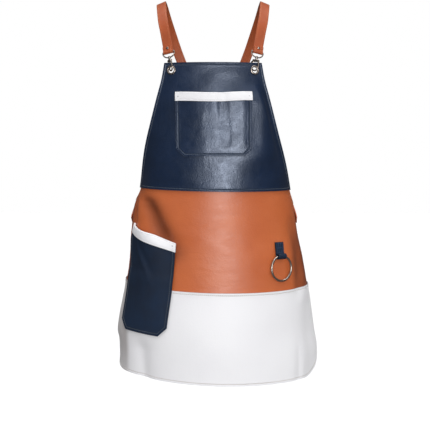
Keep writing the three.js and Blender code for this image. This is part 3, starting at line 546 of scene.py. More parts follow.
def waist_painted_shade(s, drop):
    """Painted shade, from 0 to 1: darker in the hollow above the hip pocket and down both
    margins, where the leather folds and turns away.
    """
    down = np.clip((drop - 272) / 100, 0, 1)
    hollow = 0.66 * bump(s, -150 + 62 * down, 27) * smooth(258, 290, drop) * (1 - smooth(380, 410, drop))
    margin = 0.6 * smooth(172, 196, s) * smooth(290, 380, drop)
    margin += 0.4 * smooth(184, 204, -s) * smooth(255, 290, drop)
    return np.clip(hollow + margin + 0.1 * waves(s / 18, drop / 24, 8) * (hollow + margin), 0, 1)


waist_drops = from_edges(WAIST_SEAM - SEAM_LAP, SKIRT_SEAM + SEAM_LAP, 2.4)
s, drop = panel_places(waist_drops, 2.6)
side_edge = side_distance(s, drop)
edge = np.minimum(side_edge, np.minimum(drop - waist_drops[0], waist_drops[-1] - drop))
# The waist panel carries painted shade in the hollow above the hip pocket and down both margins.
waist = add_sheet("waist_leather", tan_hide, "tan_leather", "waist_panel", s, level_z(drop, s),
                  waist_hang(s, drop), edge, np.minimum(sewn_edge(side_edge), 0.2), (s, drop),
                  tan_suede, painted_shade=waist_painted_shade(s, drop))


def leather_stitches(s, z, lift, **stitch):
    """Stitches along places on the leather, lying on a face at the lift."""
    return stitches(leather_spot(s, z, lift), frame_of(leather_point, s, z)[0], **stitch)


def side_line(start, end, side, inset):
    """Places down a side of the apron, inset from its edge."""
    drop = np.arange(start, end, 2.0)
    return side * (half_width(drop) - inset), drop


# Bonded polyester thread, dyed to each leather and a shade lighter, so a row reads as fine dashes.
# Each has a painted shade colour for between its plies and a painted highlight colour for on them.
THREAD_COLOURS = {
    "tan": ("b1754a", "c98655"), "navy": ("202e44", "26364e"), "black": ("141d28", "18222f"),
    "blue": ("354c6c", "3d587c"), "grey": ("74747a", "84858b"), "white": ("d3d2d5", "f0eff2"),
}
threads = {}
for thread, (ply_shade, ply_highlight) in THREAD_COLOURS.items():
    threads[thread], tree, shader = new_material(f"{thread}_polyester_thread")
    spot = add_node(tree, "ShaderNodeTexCoord").outputs["Object"]
    ply = add_node(tree, "ShaderNodeTexNoise", {"Vector": spot, "Scale": 900.0, "Detail": 2.0})
    tone = add_node(tree, "ShaderNodeMix", {
        "Factor": ply.outputs["Fac"], "A": linear(ply_shade), "B": linear(ply_highlight)}, data_type="RGBA")
    tree.links.new(tone.outputs["Result"], shader.inputs["Base Color"])
    shader.inputs["Roughness"].default_value = 0.55


rows = []
for side in (-1, 1):
    s, drop = side_line(WAIST_SEAM + 4, SKIRT_SEAM - 2, side, STITCH_IN)
    rows.append(leather_stitches(s, level_z(drop, s), LEATHER + 0.05))
add_piece("waist_thread", together(*rows), threads["tan"])

# BIB
# Navy cowhide with a waxed and polished finish, 2 mm thick. Its rim is turned and sewn all round,
# and its lower edge laps over the waist panel. Two rolled eyelets in its top corners take the hooks.
LAP_LIFT = LEATHER + GAP

# Waxed navy leather mirrors a window in long streaks, broken by the creases of the hide. The dye is
# nearly black blue; where wax has worn thin it shows a greyer blue.
navy_hide, shader, tree, cut, _, skin = hide(
    "waxed_navy_cowhide", "0b1523", "132746", (14.0, 5.0, 0.6),
    (1.5, 30, 2.6, 8.0, 0.11, (1.0, 0.32, 1.0)), (0.5, 0.0006))
smear = add_node(tree, "ShaderNodeTexNoise", {
    "Vector": cut, "Scale": 60.0, "Detail": 5.0, "Roughness": 0.65, "Distortion": 0.8})
rough = add_node(tree, "ShaderNodeMapRange", {
    "Value": smear.outputs["Fac"], "From Min": 0.3, "From Max": 0.7, "To Min": 0.28, "To Max": 0.44})
tree.links.new(rough.outputs[0], shader.inputs["Roughness"])
tree.links.new(skin.outputs[0], shader.inputs["Coat Normal"])
shader.inputs["IOR"].default_value = 1.5
shader.inputs["Specular IOR Level"].default_value = 0.9
shader.inputs["Specular Tint"].default_value = linear("dbe8ff")
shader.inputs["Coat Weight"].default_value = 0.22
shader.inputs["Coat Roughness"].default_value = 0.3
navy_suede = suede("navy_flesh_side", "2a3340", "4a5565")

EYELET_ACROSS = 83.5
EYELET_DROP = 15.0
EYELET_BORE = 7.4


def bib_edge(s, drop):
    """Distance to the bib's nearest edge."""
    return np.minimum(side_distance(s, drop), np.minimum(drop, WAIST_SEAM - drop))


def bib_hang(s, drop):
    """How the bib waves off its smooth form: flatter right of the middle at the pocket, with a long
    soft ridge slanting down from the top edge, and still round the eyelets."""
    level = smooth(30, 80, drop) * (1 - smooth(180, 235, drop))
    flatter = 9.5 * smooth(-12, 104, s) * (1 - smooth(104, 150, s)) * level
    ridge = 0.4 * bump(s + 0.62 * drop, 16, 19) * (1 - smooth(40, 90, drop))
    ridge += 2.6 * bump(s, 99, 14) * smooth(40, 90, drop) * (1 - smooth(150, 205, drop))
    gentle = 1.0 * waves(s / 52 + 1.3, drop / 80 + 2, 11) + 0.3 * waves(s / 22, drop / 38, 12)
    eyelets = bump(np.hypot(np.abs(s) - EYELET_ACROSS, drop - EYELET_DROP), 0, 24)
    return smooth(4, 26, bib_edge(s, drop)) * (flatter + ridge + gentle) * (1 - eyelets)


# The holes for the eyelets: places near a hole's edge are drawn onto it, and those inside go.
DRAWN_INSIDE = 2.0
DRAWN_OUTSIDE = 1.7
s, drop = panel_places(from_edges(0, WAIST_SEAM, 2.4), 2.4)
away_s, away_drop = np.abs(s) - EYELET_ACROSS, drop - EYELET_DROP
away = np.hypot(away_s, away_drop)
punched = away < EYELET_BORE + DRAWN_OUTSIDE
drawn = (away > EYELET_BORE - DRAWN_INSIDE) & punched
pull = np.where(drawn, EYELET_BORE / np.maximum(away, 0.1), 1)
s = np.sign(s) * (EYELET_ACROSS + away_s * pull)
drop = EYELET_DROP + away_drop * pull
edge = bib_edge(s, drop)
bib = add_sheet("bib_leather", navy_hide, "navy_leather", "bib_panel", s, level_z(drop, s),
                LAP_LIFT + bib_hang(s, drop), edge, sewn_edge(edge), (s, drop), navy_suede,
                punched=punched)


def level_line(drop, inset):
    """Places along a level of the apron, inset from both sides."""
    s = np.arange(inset - half_width(drop), half_width(drop) - inset, 2.0)
    return s, np.full(len(s), float(drop))


ROW_END = 6.0
lines = [side_line(STITCH_IN, WAIST_SEAM - STITCH_IN, side, STITCH_IN) for side in (-1, 1)]
lines += [level_line(drop, ROW_END) for drop in (STITCH_IN, WAIST_SEAM - STITCH_IN)]
rows = [leather_stitches(s, level_z(drop, s), LAP_LIFT + LEATHER - 0.3) for s, drop in lines]
add_piece("bib_thread", together(*rows), threads["navy"])

# SKIRT
# White cowhide with a satin pigment finish, 2 mm thick, cut with round lower corners. Its folded top
# edge laps over the waist panel under one row of stitches, and its hem is turned and sewn.

# Pigmented white leather: an even opaque coat whose grain barely shows, soft and slightly cool.
# Its shaded tone, a grey brown, is painted shade where the skirt turns away behind the hip pocket.
white_hide, shader = hide(
    "pigmented_white_cowhide", "dcdbdf", "e7e7e9", (7.0, 3.0, 0.5),
    (1.4, 34, 2.4, 9.0, 0.12, (1.0, 0.32, 1.0)), (0.4, 0.0005), shaded_tone="8f8785")[:2]
shader.inputs["Roughness"].default_value = 0.5
shader.inputs["IOR"].default_value = 1.48
shader.inputs["Sheen Weight"].default_value = 0.35
shader.inputs["Sheen Roughness"].default_value = 0.5
white_suede = suede("white_flesh_side", "a59c95", "cdc7c1")


def skirt_hang(s, drop):
    """How the skirt waves off its smooth form, more towards its free hem."""
    edge = np.minimum(side_distance(s, drop), drop - SKIRT_SEAM)
    free = smooth(4, 60, edge) * (0.4 + 0.6 * smooth(SKIRT_SEAM, APRON_LENGTH, drop))
    gentle = 1.2 * waves(s / 80 + 5, drop / 90 + 4, 21) + 0.2 * waves(s / 26, drop / 30, 22)
    lower = smooth(540, 610, drop)
    folds = 2.2 * bump(s - 0.1 * (drop - 600), -150, 13) + 2.0 * bump(s, 186, 9)
    return free * (gentle - folds * lower)


def skirt_painted_shade(s, drop):
    """Painted shade: greyer where the skirt turns away behind the hip pocket."""
    return 0.75 * smooth(180, 198, -s) * (1 - 0.4 * smooth(580, 650, drop))


s, drop = panel_places(from_edges(SKIRT_SEAM, APRON_LENGTH, 2.5), 2.8)
edge = np.minimum(side_distance(s, drop), np.minimum(drop - SKIRT_SEAM, APRON_LENGTH - drop))
# The skirt carries painted shade where it turns away behind the hip pocket.
skirt = add_sheet("skirt_leather", white_hide, "white_leather", "skirt_panel", s, level_z(drop, s),
                  LAP_LIFT + skirt_hang(s, drop), edge, 0.8 * sewn_edge(edge), (s, drop),
                  white_suede, painted_shade=skirt_painted_shade(s, drop))

# One row runs down the right side, round both corners of the hem and up the left side.
corner = np.linspace(0, math.pi / 2, 50)
inset = HEM_CORNER - STITCH_IN
corner_s = SKIRT_HALF - HEM_CORNER + inset * np.cos(corner)
corner_drop = APRON_LENGTH - HEM_CORNER + inset * np.sin(corner)
side_s, side_drop = side_line(SKIRT_SEAM + STITCH_IN, APRON_LENGTH - HEM_CORNER, 1, STITCH_IN)
bottom = np.arange(SKIRT_HALF - HEM_CORNER, HEM_CORNER - SKIRT_HALF, -2.0)
s = np.concatenate([side_s, corner_s, bottom, -corner_s[::-1], -side_s[::-1]])
drop = np.concatenate([side_drop, corner_drop, np.full(len(bottom), APRON_LENGTH - STITCH_IN),
                       corner_drop[::-1], side_drop[::-1]])
hem_face = LAP_LIFT + LEATHER - 0.25
rows = [leather_stitches(s, level_z(drop, s), hem_face + skirt_hang(s, drop))]
s, drop = level_line(SKIRT_SEAM + STITCH_IN, ROW_END)
rows.append(leather_stitches(s, level_z(drop, s), hem_face))
add_piece("skirt_thread", together(*rows), threads["white"])

# CHEST POCKET AND HIP POCKET
# Navy patch pockets with clipped lower corners, sewn on along a turned rim. The chest pocket is of
# the same waxed leather as the bib. The hip pocket is left matte, set at a tilt, and spans the seam
# of the skirt. Both mouths are bound with a folded strip of the white leather.
TRIM_LEAF = 1.2
TRIM_HEIGHT = 18.0
TRIM_OVERHANG = 0.8
TRIM_END = 17.2
TRIM_ROWS = (2.4, 14.8)


def chest_press(p, q):
    """A long crease down the chest pocket right of its middle, beside a full flat cheek."""
    cheek = 2.2 * bump(p, 70, 24) * smooth(-60, -36, q)
    valley = -4.2 * bump(p + 0.06 * q, 21, 8) * smooth(-50, -20, q)
    return cheek + valley + 0.7 * waves(p / 34 + 7, q / 50 + 3, 13) + 0.26 * waves(p / 12, q / 16, 14)


def hip_press(p, q):
    """A slanting crease below the hip pocket's mouth, and the sag of its empty bag."""
    fold = 1.8 * bump(p + 0.55 * (q - 50), -14, 7) - 1.5 * bump(p + 0.55 * (q - 50), -2, 9)
    slack = 0.8 * waves(p / 40 + 2, q / 60, 15) + 0.2 * waves(p / 14, q / 18, 16)
    return (fold * bump(q, 44, 30) + slack) * smooth(8, 36, mouth_of(HIP, p) - q)


CHEST = dict(width=147.0, height=127.0, corner=15.0, bulge=3.8, ease=0.2, tilt=0.0, slant=0.0,
             across=0.0, drop=123.5, sag=2.4, on_bib=True, press=chest_press)
HIP = dict(width=120.0, height=201.0, corner=18.0, bulge=12.0, ease=0.6, tilt=0.084, slant=0.22,
           across=-141.0, drop=450.0, sag=0.0, on_bib=False, press=hip_press)


def mouth_of(plan, p):
    """Height of a pocket's mouth, slanted and sagging a little between its sewn ends."""
    dip = plan["sag"] * np.cos(math.pi / 2 * np.clip(p / (plan["width"] / 2), -1, 1)) ** 2
    return plan["height"] / 2 - plan["slant"] * p - dip


def to_leather(plan, p, q):
    """Place on the leather of a pocket's own place, p across and q up from its middle."""
    turn = plan["tilt"]
    s = plan["across"] + p * math.cos(turn) + q * math.sin(turn)
    z = level_z(plan["drop"], plan["across"]) - p * math.sin(turn) + q * math.cos(turn)
    return s, z


def pocket_lift(plan, p, q):
    """How far a pocket's inner face stands off the leather that it is sewn to."""
    s, z = to_leather(plan, p, q)
    drop = plan["drop"] + level_z(plan["drop"], plan["across"]) - z
    if plan["on_bib"]:
        ground = LAP_LIFT + LEATHER + bib_hang(s, drop)
    else:
        ramp = level_z(SKIRT_SEAM, s) + SEAM_LAP
        ground = LEATHER + LAP_LIFT * (1 - smooth(ramp, ramp + 2 * SEAM_LAP, z))
        below = smooth(SKIRT_SEAM - 8, SKIRT_SEAM + 8, drop)
        ground += waist_hang(s, drop) * (1 - below) + skirt_hang(s, np.maximum(drop, SKIRT_SEAM)) * below
    up = (q + plan["height"] / 2) / (mouth_of(plan, p) + plan["height"] / 2)
    belly = np.cos(math.pi / 2 * np.minimum(np.abs(p) / (plan["width"] / 2), 1)) ** 2
    room = plan["ease"] + (TRIM_LEAF + GAP) * smooth(0.45, 0.8, up)
    bag = plan["bulge"] * belly * smooth(0, 1.15, up)
    press = plan["press"](p, q) * smooth(3, 20, pocket_edge(plan, p, q))
    limit = 0.8 * bag + 0.05
    return ground + GAP + room + bag + np.where(press < 0, limit * np.tanh(press / limit), press)


def pocket_edge(plan, p, q):
    """Distance to a pocket's sewn edge, with its clipped corners."""
    up = q + plan["height"] / 2
    side = plan["width"] / 2 - np.abs(p)
    clipped = (side - plan["corner"] + up) / math.sqrt(2)
    return np.minimum(np.minimum(side, up), clipped)


def pocket_places(plan, step):
    """Grid over a pocket from its mouth down, drawn in along its clipped corners."""
    low, wide, corner = -plan["height"] / 2, plan["width"] / 2, plan["corner"]
    shares = from_edges(-wide, wide, step)
    below = np.concatenate([NEAR_EDGE[:-1], np.linspace(NEAR_EDGE[-1], corner, 5)])
    rows = [(low + up, 0.0, wide - max(corner - up, 0)) for up in below]
    above = int((plan["height"] - corner) / step)
    rows += [(low + corner, part, wide) for part in np.linspace(0, 1, above)[1:]]
    grid_p, grid_q = [], []
    for start, part, half in rows[::-1]:
        p = drawn_in(shares, half)
        grid_p.append(p)
        grid_q.append(start + (mouth_of(plan, p) - start) * part)
    return np.array(grid_p), np.array(grid_q)


def pocket_piece(name, plan, material, node):
    """A pocket's bag. Its flat cut lies beside those of the panels."""
    p, q = pocket_places(plan, 1.9)
    edge = pocket_edge(plan, p, q)
    return add_sheet(name, material, "navy_leather", node, *to_leather(plan, p, q),
                     pocket_lift(plan, p, q), edge, 1.25 * sewn_edge(edge),
                     (p + plan["across"] + 400, q - plan["drop"]), navy_suede)


def trim_piece(name, plan, node):
    """Binding over a mouth: its two leaves and the round fold over the top."""
    half = plan["width"] / 2 + TRIM_OVERHANG
    along = from_edges(-half, half, 2.2)
    far, near = LEATHER + GAP, -GAP
    middle = (far + near) / 2
    reach = middle - near + TRIM_LEAF
    down = np.concatenate([[TRIM_END, 17.1, 16.8], np.linspace(16.4, 12.5, 8), np.linspace(11.5, 4.5, 5),
                           np.linspace(3.7, 0.6, 7)])
    face = 0.22 * bump(down, 9.0, 5.0) - 0.4 * bump(down, TRIM_ROWS[1], 0.7)
    face -= 0.35 * bump(down, TRIM_ROWS[0], 0.7) + 0.5 * bump(down, TRIM_END, 0.35)
    section = [(d, far + TRIM_LEAF + f) for d, f in zip(down, face)]
    section += [(0.6 - (reach - 0.9) * math.sin(a), middle + reach * math.cos(a))
                for a in np.linspace(0, math.pi, 11)]
    section += [(d, near - TRIM_LEAF) for d in np.linspace(1.5, TRIM_END, 8)]
    section += [(TRIM_END, near), (9.0, near), (0.8, near)]
    section += [(-GAP, middle), (0.8, far), (9.0, far), (TRIM_END, far)]
    below, off = np.array(section).T
    p = np.repeat(along[:, None], len(section), axis=1)
    q = mouth_of(plan, p) - below
    shrink = (1 - np.minimum(half - np.abs(p), 1.0)) ** 2 * 0.35
    lift = pocket_lift(plan, p, q) + off + shrink * np.sign(middle - off)
    lift += 0.12 * (off > far) * waves(p / 9, q / 7, 31)
    points = leather_spot(*to_leather(plan, p, q), lift)
    flat = np.stack([p.ravel() + 700, np.tile(below, len(along))], axis=1)
    faces = loop_faces(np.arange(p.size).reshape(p.shape)[:, ::-1])
    add_piece(name, (points, faces), white_hide, node, flat_cut=flat)


def pocket_stitches(plan, p, q, lift, **stitch):
    """Stitches along places of a pocket, at a lift above its inner face."""
    return leather_stitches(*to_leather(plan, p, q), pocket_lift(plan, p, q) + lift, **stitch)


def pocket_thread(name, thread, plan):
    """Stitches down one side of a pocket, round its clipped corners and up the other."""
    low, right = -plan["height"] / 2 + STITCH_IN, plan["width"] / 2 - STITCH_IN
    clip = plan["corner"] + STITCH_IN * (math.sqrt(2) - 2)
    knots = [(-right, mouth_of(plan, -right) - TRIM_HEIGHT), (-right, low + clip), (-right + clip, low),
             (right - clip, low), (right, low + clip), (right, mouth_of(plan, right) - TRIM_HEIGHT)]
    places = [np.linspace(a, b, max(3, int(math.dist(a, b) / 2)))[:-1] for a, b in zip(knots, knots[1:])]
    row = pocket_stitches(plan, *np.concatenate(places).T, LEATHER - 0.3)
    add_piece(name, row, threads[thread])


def trim_thread(name, plan):
    """Two rows of stitches along a binding, and a closed box of them at each end."""
    half = plan["width"] / 2 - 2.5
    p = np.arange(-half, half, 2.0)
    rows = [(p, np.full(len(p), down)) for down in TRIM_ROWS]
    down = np.arange(TRIM_ROWS[0], TRIM_ROWS[1] + 0.1, 1.2)
    rows += [(np.full(len(down), side * (half - inset)), down) for side in (-1, 1) for inset in (0.0, 2.2)]
    face = LEATHER + GAP + TRIM_LEAF - 0.15
    made = [pocket_stitches(plan, p, mouth_of(plan, p) - down, face, pitch=3.4, length=2.7, thick=0.6)
            for p, down in rows]
    add_piece(name, together(*made), threads["white"])


def bar_tack(name, plan, ends):
    """A dense bar of grey thread near an end of a binding, where the mouth takes the strain."""
    face = LEATHER + GAP + TRIM_LEAF + 0.05
    down = np.linspace(4.6, 12.4, 9)
    made = []
    for end in ends:
        for inset in np.arange(4.2, 7.0, 0.7):
            p = np.full(len(down), end * (plan["width"] / 2 - inset))
            made.append(pocket_stitches(plan, p, mouth_of(plan, p) - down, face, length=3.6, thick=0.6))
    add_piece(name, together(*made), threads["grey"])


# The hip pocket's navy leather has no wax: a dry, matte face that scatters the light evenly.
matte_navy, shader = hide(
    "matte_navy_cowhide", "1b1d25", "162c47", (16.0, 5.0, 0.6),
    (1.4, 24, 1.6, 7.0, 0.2, (1.0, 0.32, 1.0)), (0.3, 0.0006))[:2]
shader.inputs["Roughness"].default_value = 0.7
shader.inputs["IOR"].default_value = 1.45
shader.inputs["Specular IOR Level"].default_value = 0.3

chest_pocket = pocket_piece("chest_pocket_leather", CHEST, navy_hide, "chest_pocket")
trim_piece("chest_pocket_binding", CHEST, "chest_pocket_trim")
pocket_thread("chest_pocket_thread", "navy", CHEST)

hip_pocket = pocket_piece("hip_pocket_leather", HIP, matte_navy, "hip_pocket")
trim_piece("hip_pocket_binding", HIP, "hip_pocket_trim")
pocket_thread("hip_pocket_thread", "black", HIP)

trim_thread("chest_binding_thread", CHEST)
trim_thread("hip_binding_thread", HIP)
bar_tack("chest_binding_tacks", CHEST, (-1, 1))
bar_tack("hip_binding_tack", HIP, (1,))

# TOOL RING AND ITS TAB
# A welded ring of round nickel-plated steel wire, 55 mm across, for a hammer or tongs. It hangs in a
# strip of navy leather that is folded round it and sewn flat on the waist panel through both layers.
TAB_ACROSS = 140.0
TAB_DROP = 360.0
TAB_WIDTH = 20.0
TAB_RISE = 29.0
TAB_LOOP = 5.8
RING_RADIUS = 25.2
RING_WIRE = 4.6
RING_CLEAR = 0.4


def in_frame(origin, across, out, up, local):
    """Millimetre points of a frame whose x, y and z run right, inward and up."""
    local = np.asarray(local, float)
    return origin + local[:, :1] * across - local[:, 1:2] * out + local[:, 2:] * up


def swept(path, radii, sides, closed=False):
    """A round wire along a path in the x-z plane."""
    path = np.asarray(path, float)
    ahead = np.roll(path, -1, axis=0) - np.roll(path, 1, axis=0)
    if not closed:
        ahead[0], ahead[-1] = path[1] - path[0], path[-1] - path[-2]
    inward = np.array([0.0, 1.0, 0.0])
    side = unit(np.cross(unit(ahead), inward))
    turn = np.arange(sides) / sides * 2 * math.pi
    radii = np.broadcast_to(np.asarray(radii, float), len(path))[:, None, None]
    ring = side[:, None] * np.cos(turn)[None, :, None] + inward * np.sin(turn)[None, :, None]
    points = (path[:, None] + ring * radii).reshape(-1, 3)
    index = np.arange(len(points)).reshape(len(path), sides)
    if closed:
        return points, loop_faces(np.concatenate([index, index[:1]]), capped=False)
    return points, loop_faces(index)


def turned(profile, sides):
    """A solid of revolution about z from [radius, height] corners, open rings closed on the axis."""
    profile = np.asarray(profile, float)
    turn = np.arange(sides) / sides * 2 * math.pi
    points = np.stack([profile[:, :1] * np.cos(turn), profile[:, :1] * np.sin(turn),
                       np.repeat(profile[:, 1:], sides, axis=1)], axis=-1).reshape(-1, 3)
    index = np.arange(len(points)).reshape(len(profile), sides)
    return points, loop_faces(index, capped=not np.allclose(profile[0], profile[-1]))


def in_tab(local):
    """Millimetre points of the tab's frame, whose origin is where it meets the waist panel."""
    return in_frame(tab_origin, tab_right, tab_out, tab_up, local)


ring_sag = RING_RADIUS - math.sqrt(RING_RADIUS**2 - (TAB_WIDTH / 2) ** 2)
pivot_drop = ring_sag / 2
tab_hole = pivot_drop + RING_WIRE / 2 * RING_RADIUS / (RING_RADIUS - ring_sag) + RING_CLEAR
tab_thick = 2 * (TAB_LOOP - tab_hole)
tab_z = level_z(TAB_DROP, TAB_ACROSS) - TAB_RISE
tab_place = np.array([TAB_ACROSS]), np.array([tab_z])
tab_out, tab_right, tab_up = (v[0] for v in frame_of(leather_point, *tab_place))
tab_origin = leather_spot(TAB_ACROSS, tab_z, LEATHER + GAP)[0]


def strip(path, outs, width, thick, relief=None, edge_round=0.5):
    """A leather strip along a path, with the way out of its face and rounded edges. relief gives
    the lift of its outer face across the width, from -1 to 1, and along the path in millimetres."""
    path, outs = np.asarray(path, float), np.asarray(outs, float)
    ahead = unit(np.gradient(path, axis=0))
    across = unit(np.cross(ahead, outs))
    out = np.cross(across, ahead)
    along = np.concatenate([[0], np.cumsum(np.linalg.norm(np.diff(path, axis=0), axis=1))])
    half, r = width / 2, edge_round
    side = np.array([0, 0.3, 0.8, 1.6, 2.2, 2.6, 3.0, 3.5, 4.6, 6.2, 7.3, 7.9, 8.5])
    place = np.concatenate([-half + side, [0.0], half - side[::-1]])
    fall = r - np.sqrt(np.maximum(r**2 - np.maximum(r - (half - np.abs(place)), 0) ** 2, 0))
    lift = np.zeros((len(path), len(place))) if relief is None else relief(place[None, :], along[:, None])
    rise = thick / 2 - fall
    top = path[:, None] + across[:, None] * place[None, :, None]
    top = top + out[:, None] * (rise[None, :, None] + lift[..., None])
    low = path[:, None] + across[:, None] * place[None, ::-1, None] - out[:, None] * rise[None, ::-1, None]
    ring = np.concatenate([top, low], axis=1)
    rows, columns = ring.shape[:2]
    around = np.concatenate([place, width + 4 + place])
    flat = np.stack([np.tile(around, rows), np.repeat(along, columns)], axis=1)
    return ring.reshape(-1, 3), loop_faces(np.arange(rows * columns).reshape(rows, columns)), flat


# The strip's middle line goes down behind, round the ring and up in front.
layer = tab_thick / 2
bend = TAB_LOOP - layer / 2
wrap = np.linspace(0, 2 * math.pi - math.acos((TAB_LOOP - 1.5 * layer) / bend), 30)
tab_path = [(-layer / 2, h) for h in np.linspace(TAB_RISE, 1.0, 12)]
tab_path += [(-TAB_LOOP + bend * math.cos(a), -bend * math.sin(a)) for a in wrap]
front_start = tab_path[-1][1]
tab_path += [(-1.5 * layer, h) for h in np.linspace(front_start + 1.5, TAB_RISE, 34)]
tab_path = np.array([(0, y, h) for y, h in tab_path])
ahead = unit(np.gradient(tab_path, axis=0))
tab_outs = np.cross(np.array([1.0, 0, 0]), ahead)

TAB_ROWS = (2.6, 7.6)
TAB_BARS = (1.9, 11.5, 21.2)
TAB_SEWN = 21.5


def tab_relief(place, along):
    """The leather drawn in along the tab's box of stitches and the row across its middle."""
    rows = sum(bump(np.abs(place), mid, 0.45) for mid in TAB_ROWS)
    from_end = along.max() - along
    sewn = (from_end > 1.5) & (from_end < TAB_SEWN)
    bars = sum(bump(from_end, at, 0.5) for at in (1.9, 11.5, 21.0))
    return -0.34 * np.minimum(rows * sewn + bars * (np.abs(place) < 8.0), 1)


points, faces, flat = strip(tab_path, tab_outs, TAB_WIDTH, layer, tab_relief)
add_piece("ring_tab_leather", (in_tab(points), faces), matte_navy, "ring_tab", flat_cut=flat)

# A box of stitches through both leaves of the tab, with a row across its middle.
tab_face = 0.15 - 2 * layer
rows = [[(side * place, tab_face, h) for h in np.arange(TAB_RISE - TAB_SEWN, TAB_RISE - 1.4, 1.4)]
        for side in (-1, 1) for place in TAB_ROWS]
rows += [[(place, tab_face, TAB_RISE - below) for place in np.arange(-TAB_ROWS[1], TAB_ROWS[1] + 0.1, 1.4)]
         for below in TAB_BARS]
made = [stitches(in_tab(row), np.tile(tab_out, (len(row), 1)), pitch=3.2, length=2.5, thick=0.6)
        for row in rows]
add_piece("ring_tab_thread", together(*made), threads["blue"])

# Nickel plate gone brown with handling: bright where it rubs, dark brown film in the hollows.
nickel, tree, shader = new_material("antique_nickel_plate")
spot = add_node(tree, "ShaderNodeTexCoord").outputs["Object"]
film = add_node(tree, "ShaderNodeTexNoise", {
    "Vector": spot, "Scale": 420.0, "Detail": 6.0, "Roughness": 0.65})
tone = add_node(tree, "ShaderNodeMix", {
    "Factor": film.outputs["Fac"], "A": linear("8d8078"), "B": linear("ded2c8")}, data_type="RGBA")
tree.links.new(tone.outputs["Result"], shader.inputs["Base Color"])
rough = add_node(tree, "ShaderNodeMapRange", {
    "Value": film.outputs["Fac"], "From Min": 0.3, "From Max": 0.7, "To Min": 0.42, "To Max": 0.24})
tree.links.new(rough.outputs[0], shader.inputs["Roughness"])
shader.inputs["Metallic"].default_value = 1.0

# The ring leans until its low side is close to the panel, and its weld stands a little proud.
ring_hang = 2 * RING_RADIUS - pivot_drop
rest = leather_spot(TAB_ACROSS, tab_z - ring_hang, LEATHER + RING_CLEAR + RING_WIRE / 2)[0]
ring_lean = math.asin((TAB_LOOP - (rest - tab_origin) @ tab_out) / ring_hang)
turn = np.arange(96) / 96 * 2 * math.pi
circle = np.stack([RING_RADIUS * np.sin(turn), 0 * turn,
                   pivot_drop - RING_RADIUS + RING_RADIUS * np.cos(turn)], axis=1)
weld = 1 + 0.06 * bump(turn, math.pi * 0.42, 0.05)
points, faces = swept(circle, RING_WIRE / 2 * weld, 20, closed=True)
level, rise = math.cos(ring_lean), math.sin(ring_lean)
points = np.stack([points[:, 0], points[:, 1] * level - points[:, 2] * rise - TAB_LOOP,
                   points[:, 1] * rise + points[:, 2] * level], axis=1)
add_piece("tool_ring_wire", (in_tab(points), faces), nickel, "tool_ring", body="ring")

# EYELETS
# Rolled brass eyelets, nickel plated, one in each top corner of the bib. The front flange is domed
# and the barrel is rolled over a flat washer behind.
EYELET_HOLE = 5.8
EYELET_FLANGE = 9.2
EYELET_BARREL = EYELET_HOLE + 0.8
EYELET_INNER = LEATHER / 2 + 0.5
EYELET_LIP = 0.25
EYELET_DOME = 0.95


def set_on(centre, right, up, out, shape):
    """A turned shape set at a centre, with its axis along out."""
    points, faces = shape
    return centre + points[:, :1] * right + points[:, 1:2] * up + points[:, 2:] * out, faces


wide = (EYELET_FLANGE - EYELET_HOLE) / 2
profile = [(EYELET_HOLE + wide - wide * math.cos(a),
            EYELET_INNER + EYELET_LIP + EYELET_DOME * math.sin(a) ** 0.8)
           for a in np.linspace(0, math.pi, 15)]
profile += [(EYELET_FLANGE, EYELET_INNER), (EYELET_BARREL, EYELET_INNER),
            (EYELET_BARREL, -EYELET_INNER), (EYELET_FLANGE, -EYELET_INNER),
            (EYELET_FLANGE - 0.15, -EYELET_INNER - 0.55), (EYELET_FLANGE - 0.6, -EYELET_INNER - 0.78),
            (EYELET_BARREL, -EYELET_INNER - 0.8), (EYELET_HOLE, -EYELET_INNER - 0.3)]
profile.append(profile[0])
sides = {}
for name, side in (("left", -1), ("right", 1)):
    place = np.array([side * EYELET_ACROSS]), np.array([-BIB_DROP - EYELET_DROP])
    out, right, up = (v[0] for v in frame_of(leather_point, *place))
    centre = leather_spot(*place, LAP_LIFT + LEATHER / 2)[0]
    sides[name] = dict(side=side, centre=centre, out=out)
    add_piece(f"eyelet_{name}_rolled", set_on(centre, right, up, out, turned(profile, 48)), nickel,
              f"eyelet_{name}")

# SWIVEL HOOKS
# Die-cast zinc snap hooks with the same antique nickel plate. A wire D turns on a stud at the top of
# each hook and carries the strap, and a sprung lever closes the claw that is clipped in the eyelet.
SHOULDER_HALF = 107.0
SHOULDER_DEPTH = 115.0
STRAP_THICK = 2.4
STRAP_WIDTH = 20.5

# A strap's way over its shoulder: across, back and down, as shares of SHOULDER_HALF,
# SHOULDER_DEPTH and BIB_DROP.
SHOULDER_WAY = np.array([
    (0.900, -0.75, 0.52), (0.945, -0.64, 0.34), (0.975, -0.45, 0.16), (0.995, -0.22, 0.04),
    (1.000, 0.02, 0.00), (0.980, 0.28, 0.04), (0.930, 0.54, 0.18), (0.835, 0.75, 0.42),
    (0.695, 0.90, 0.75),
])

HOOK_WIRE = 3.0
HOOK_LOOP = 6.9
HOOK_TURN = math.pi / 4
HOOK_RISE = -0.9
HEAD_UP = 20.4
HEAD_RADIUS = 2.4
HEAD_THICK = 4.8
HEAD_SLOT = 2.8
HEAD_CORE = 3.4
GATE_THICK = 2.2
NECK_TOP = 25.0
BOSS_HEIGHT = 2.8
BAR_UP = 38.4
EYE_WIRE = 2.6
eyelet_front = EYELET_INNER + EYELET_LIP + EYELET_DOME
spine = (eyelet_front + GAP + HOOK_WIRE / 2) / math.cos(HOOK_TURN)
loop_middle = spine - HOOK_LOOP
gate_in = loop_middle - HOOK_LOOP
nose_up = EYELET_FLANGE - HOOK_RISE + GAP
pivot_in = gate_in + HEAD_RADIUS


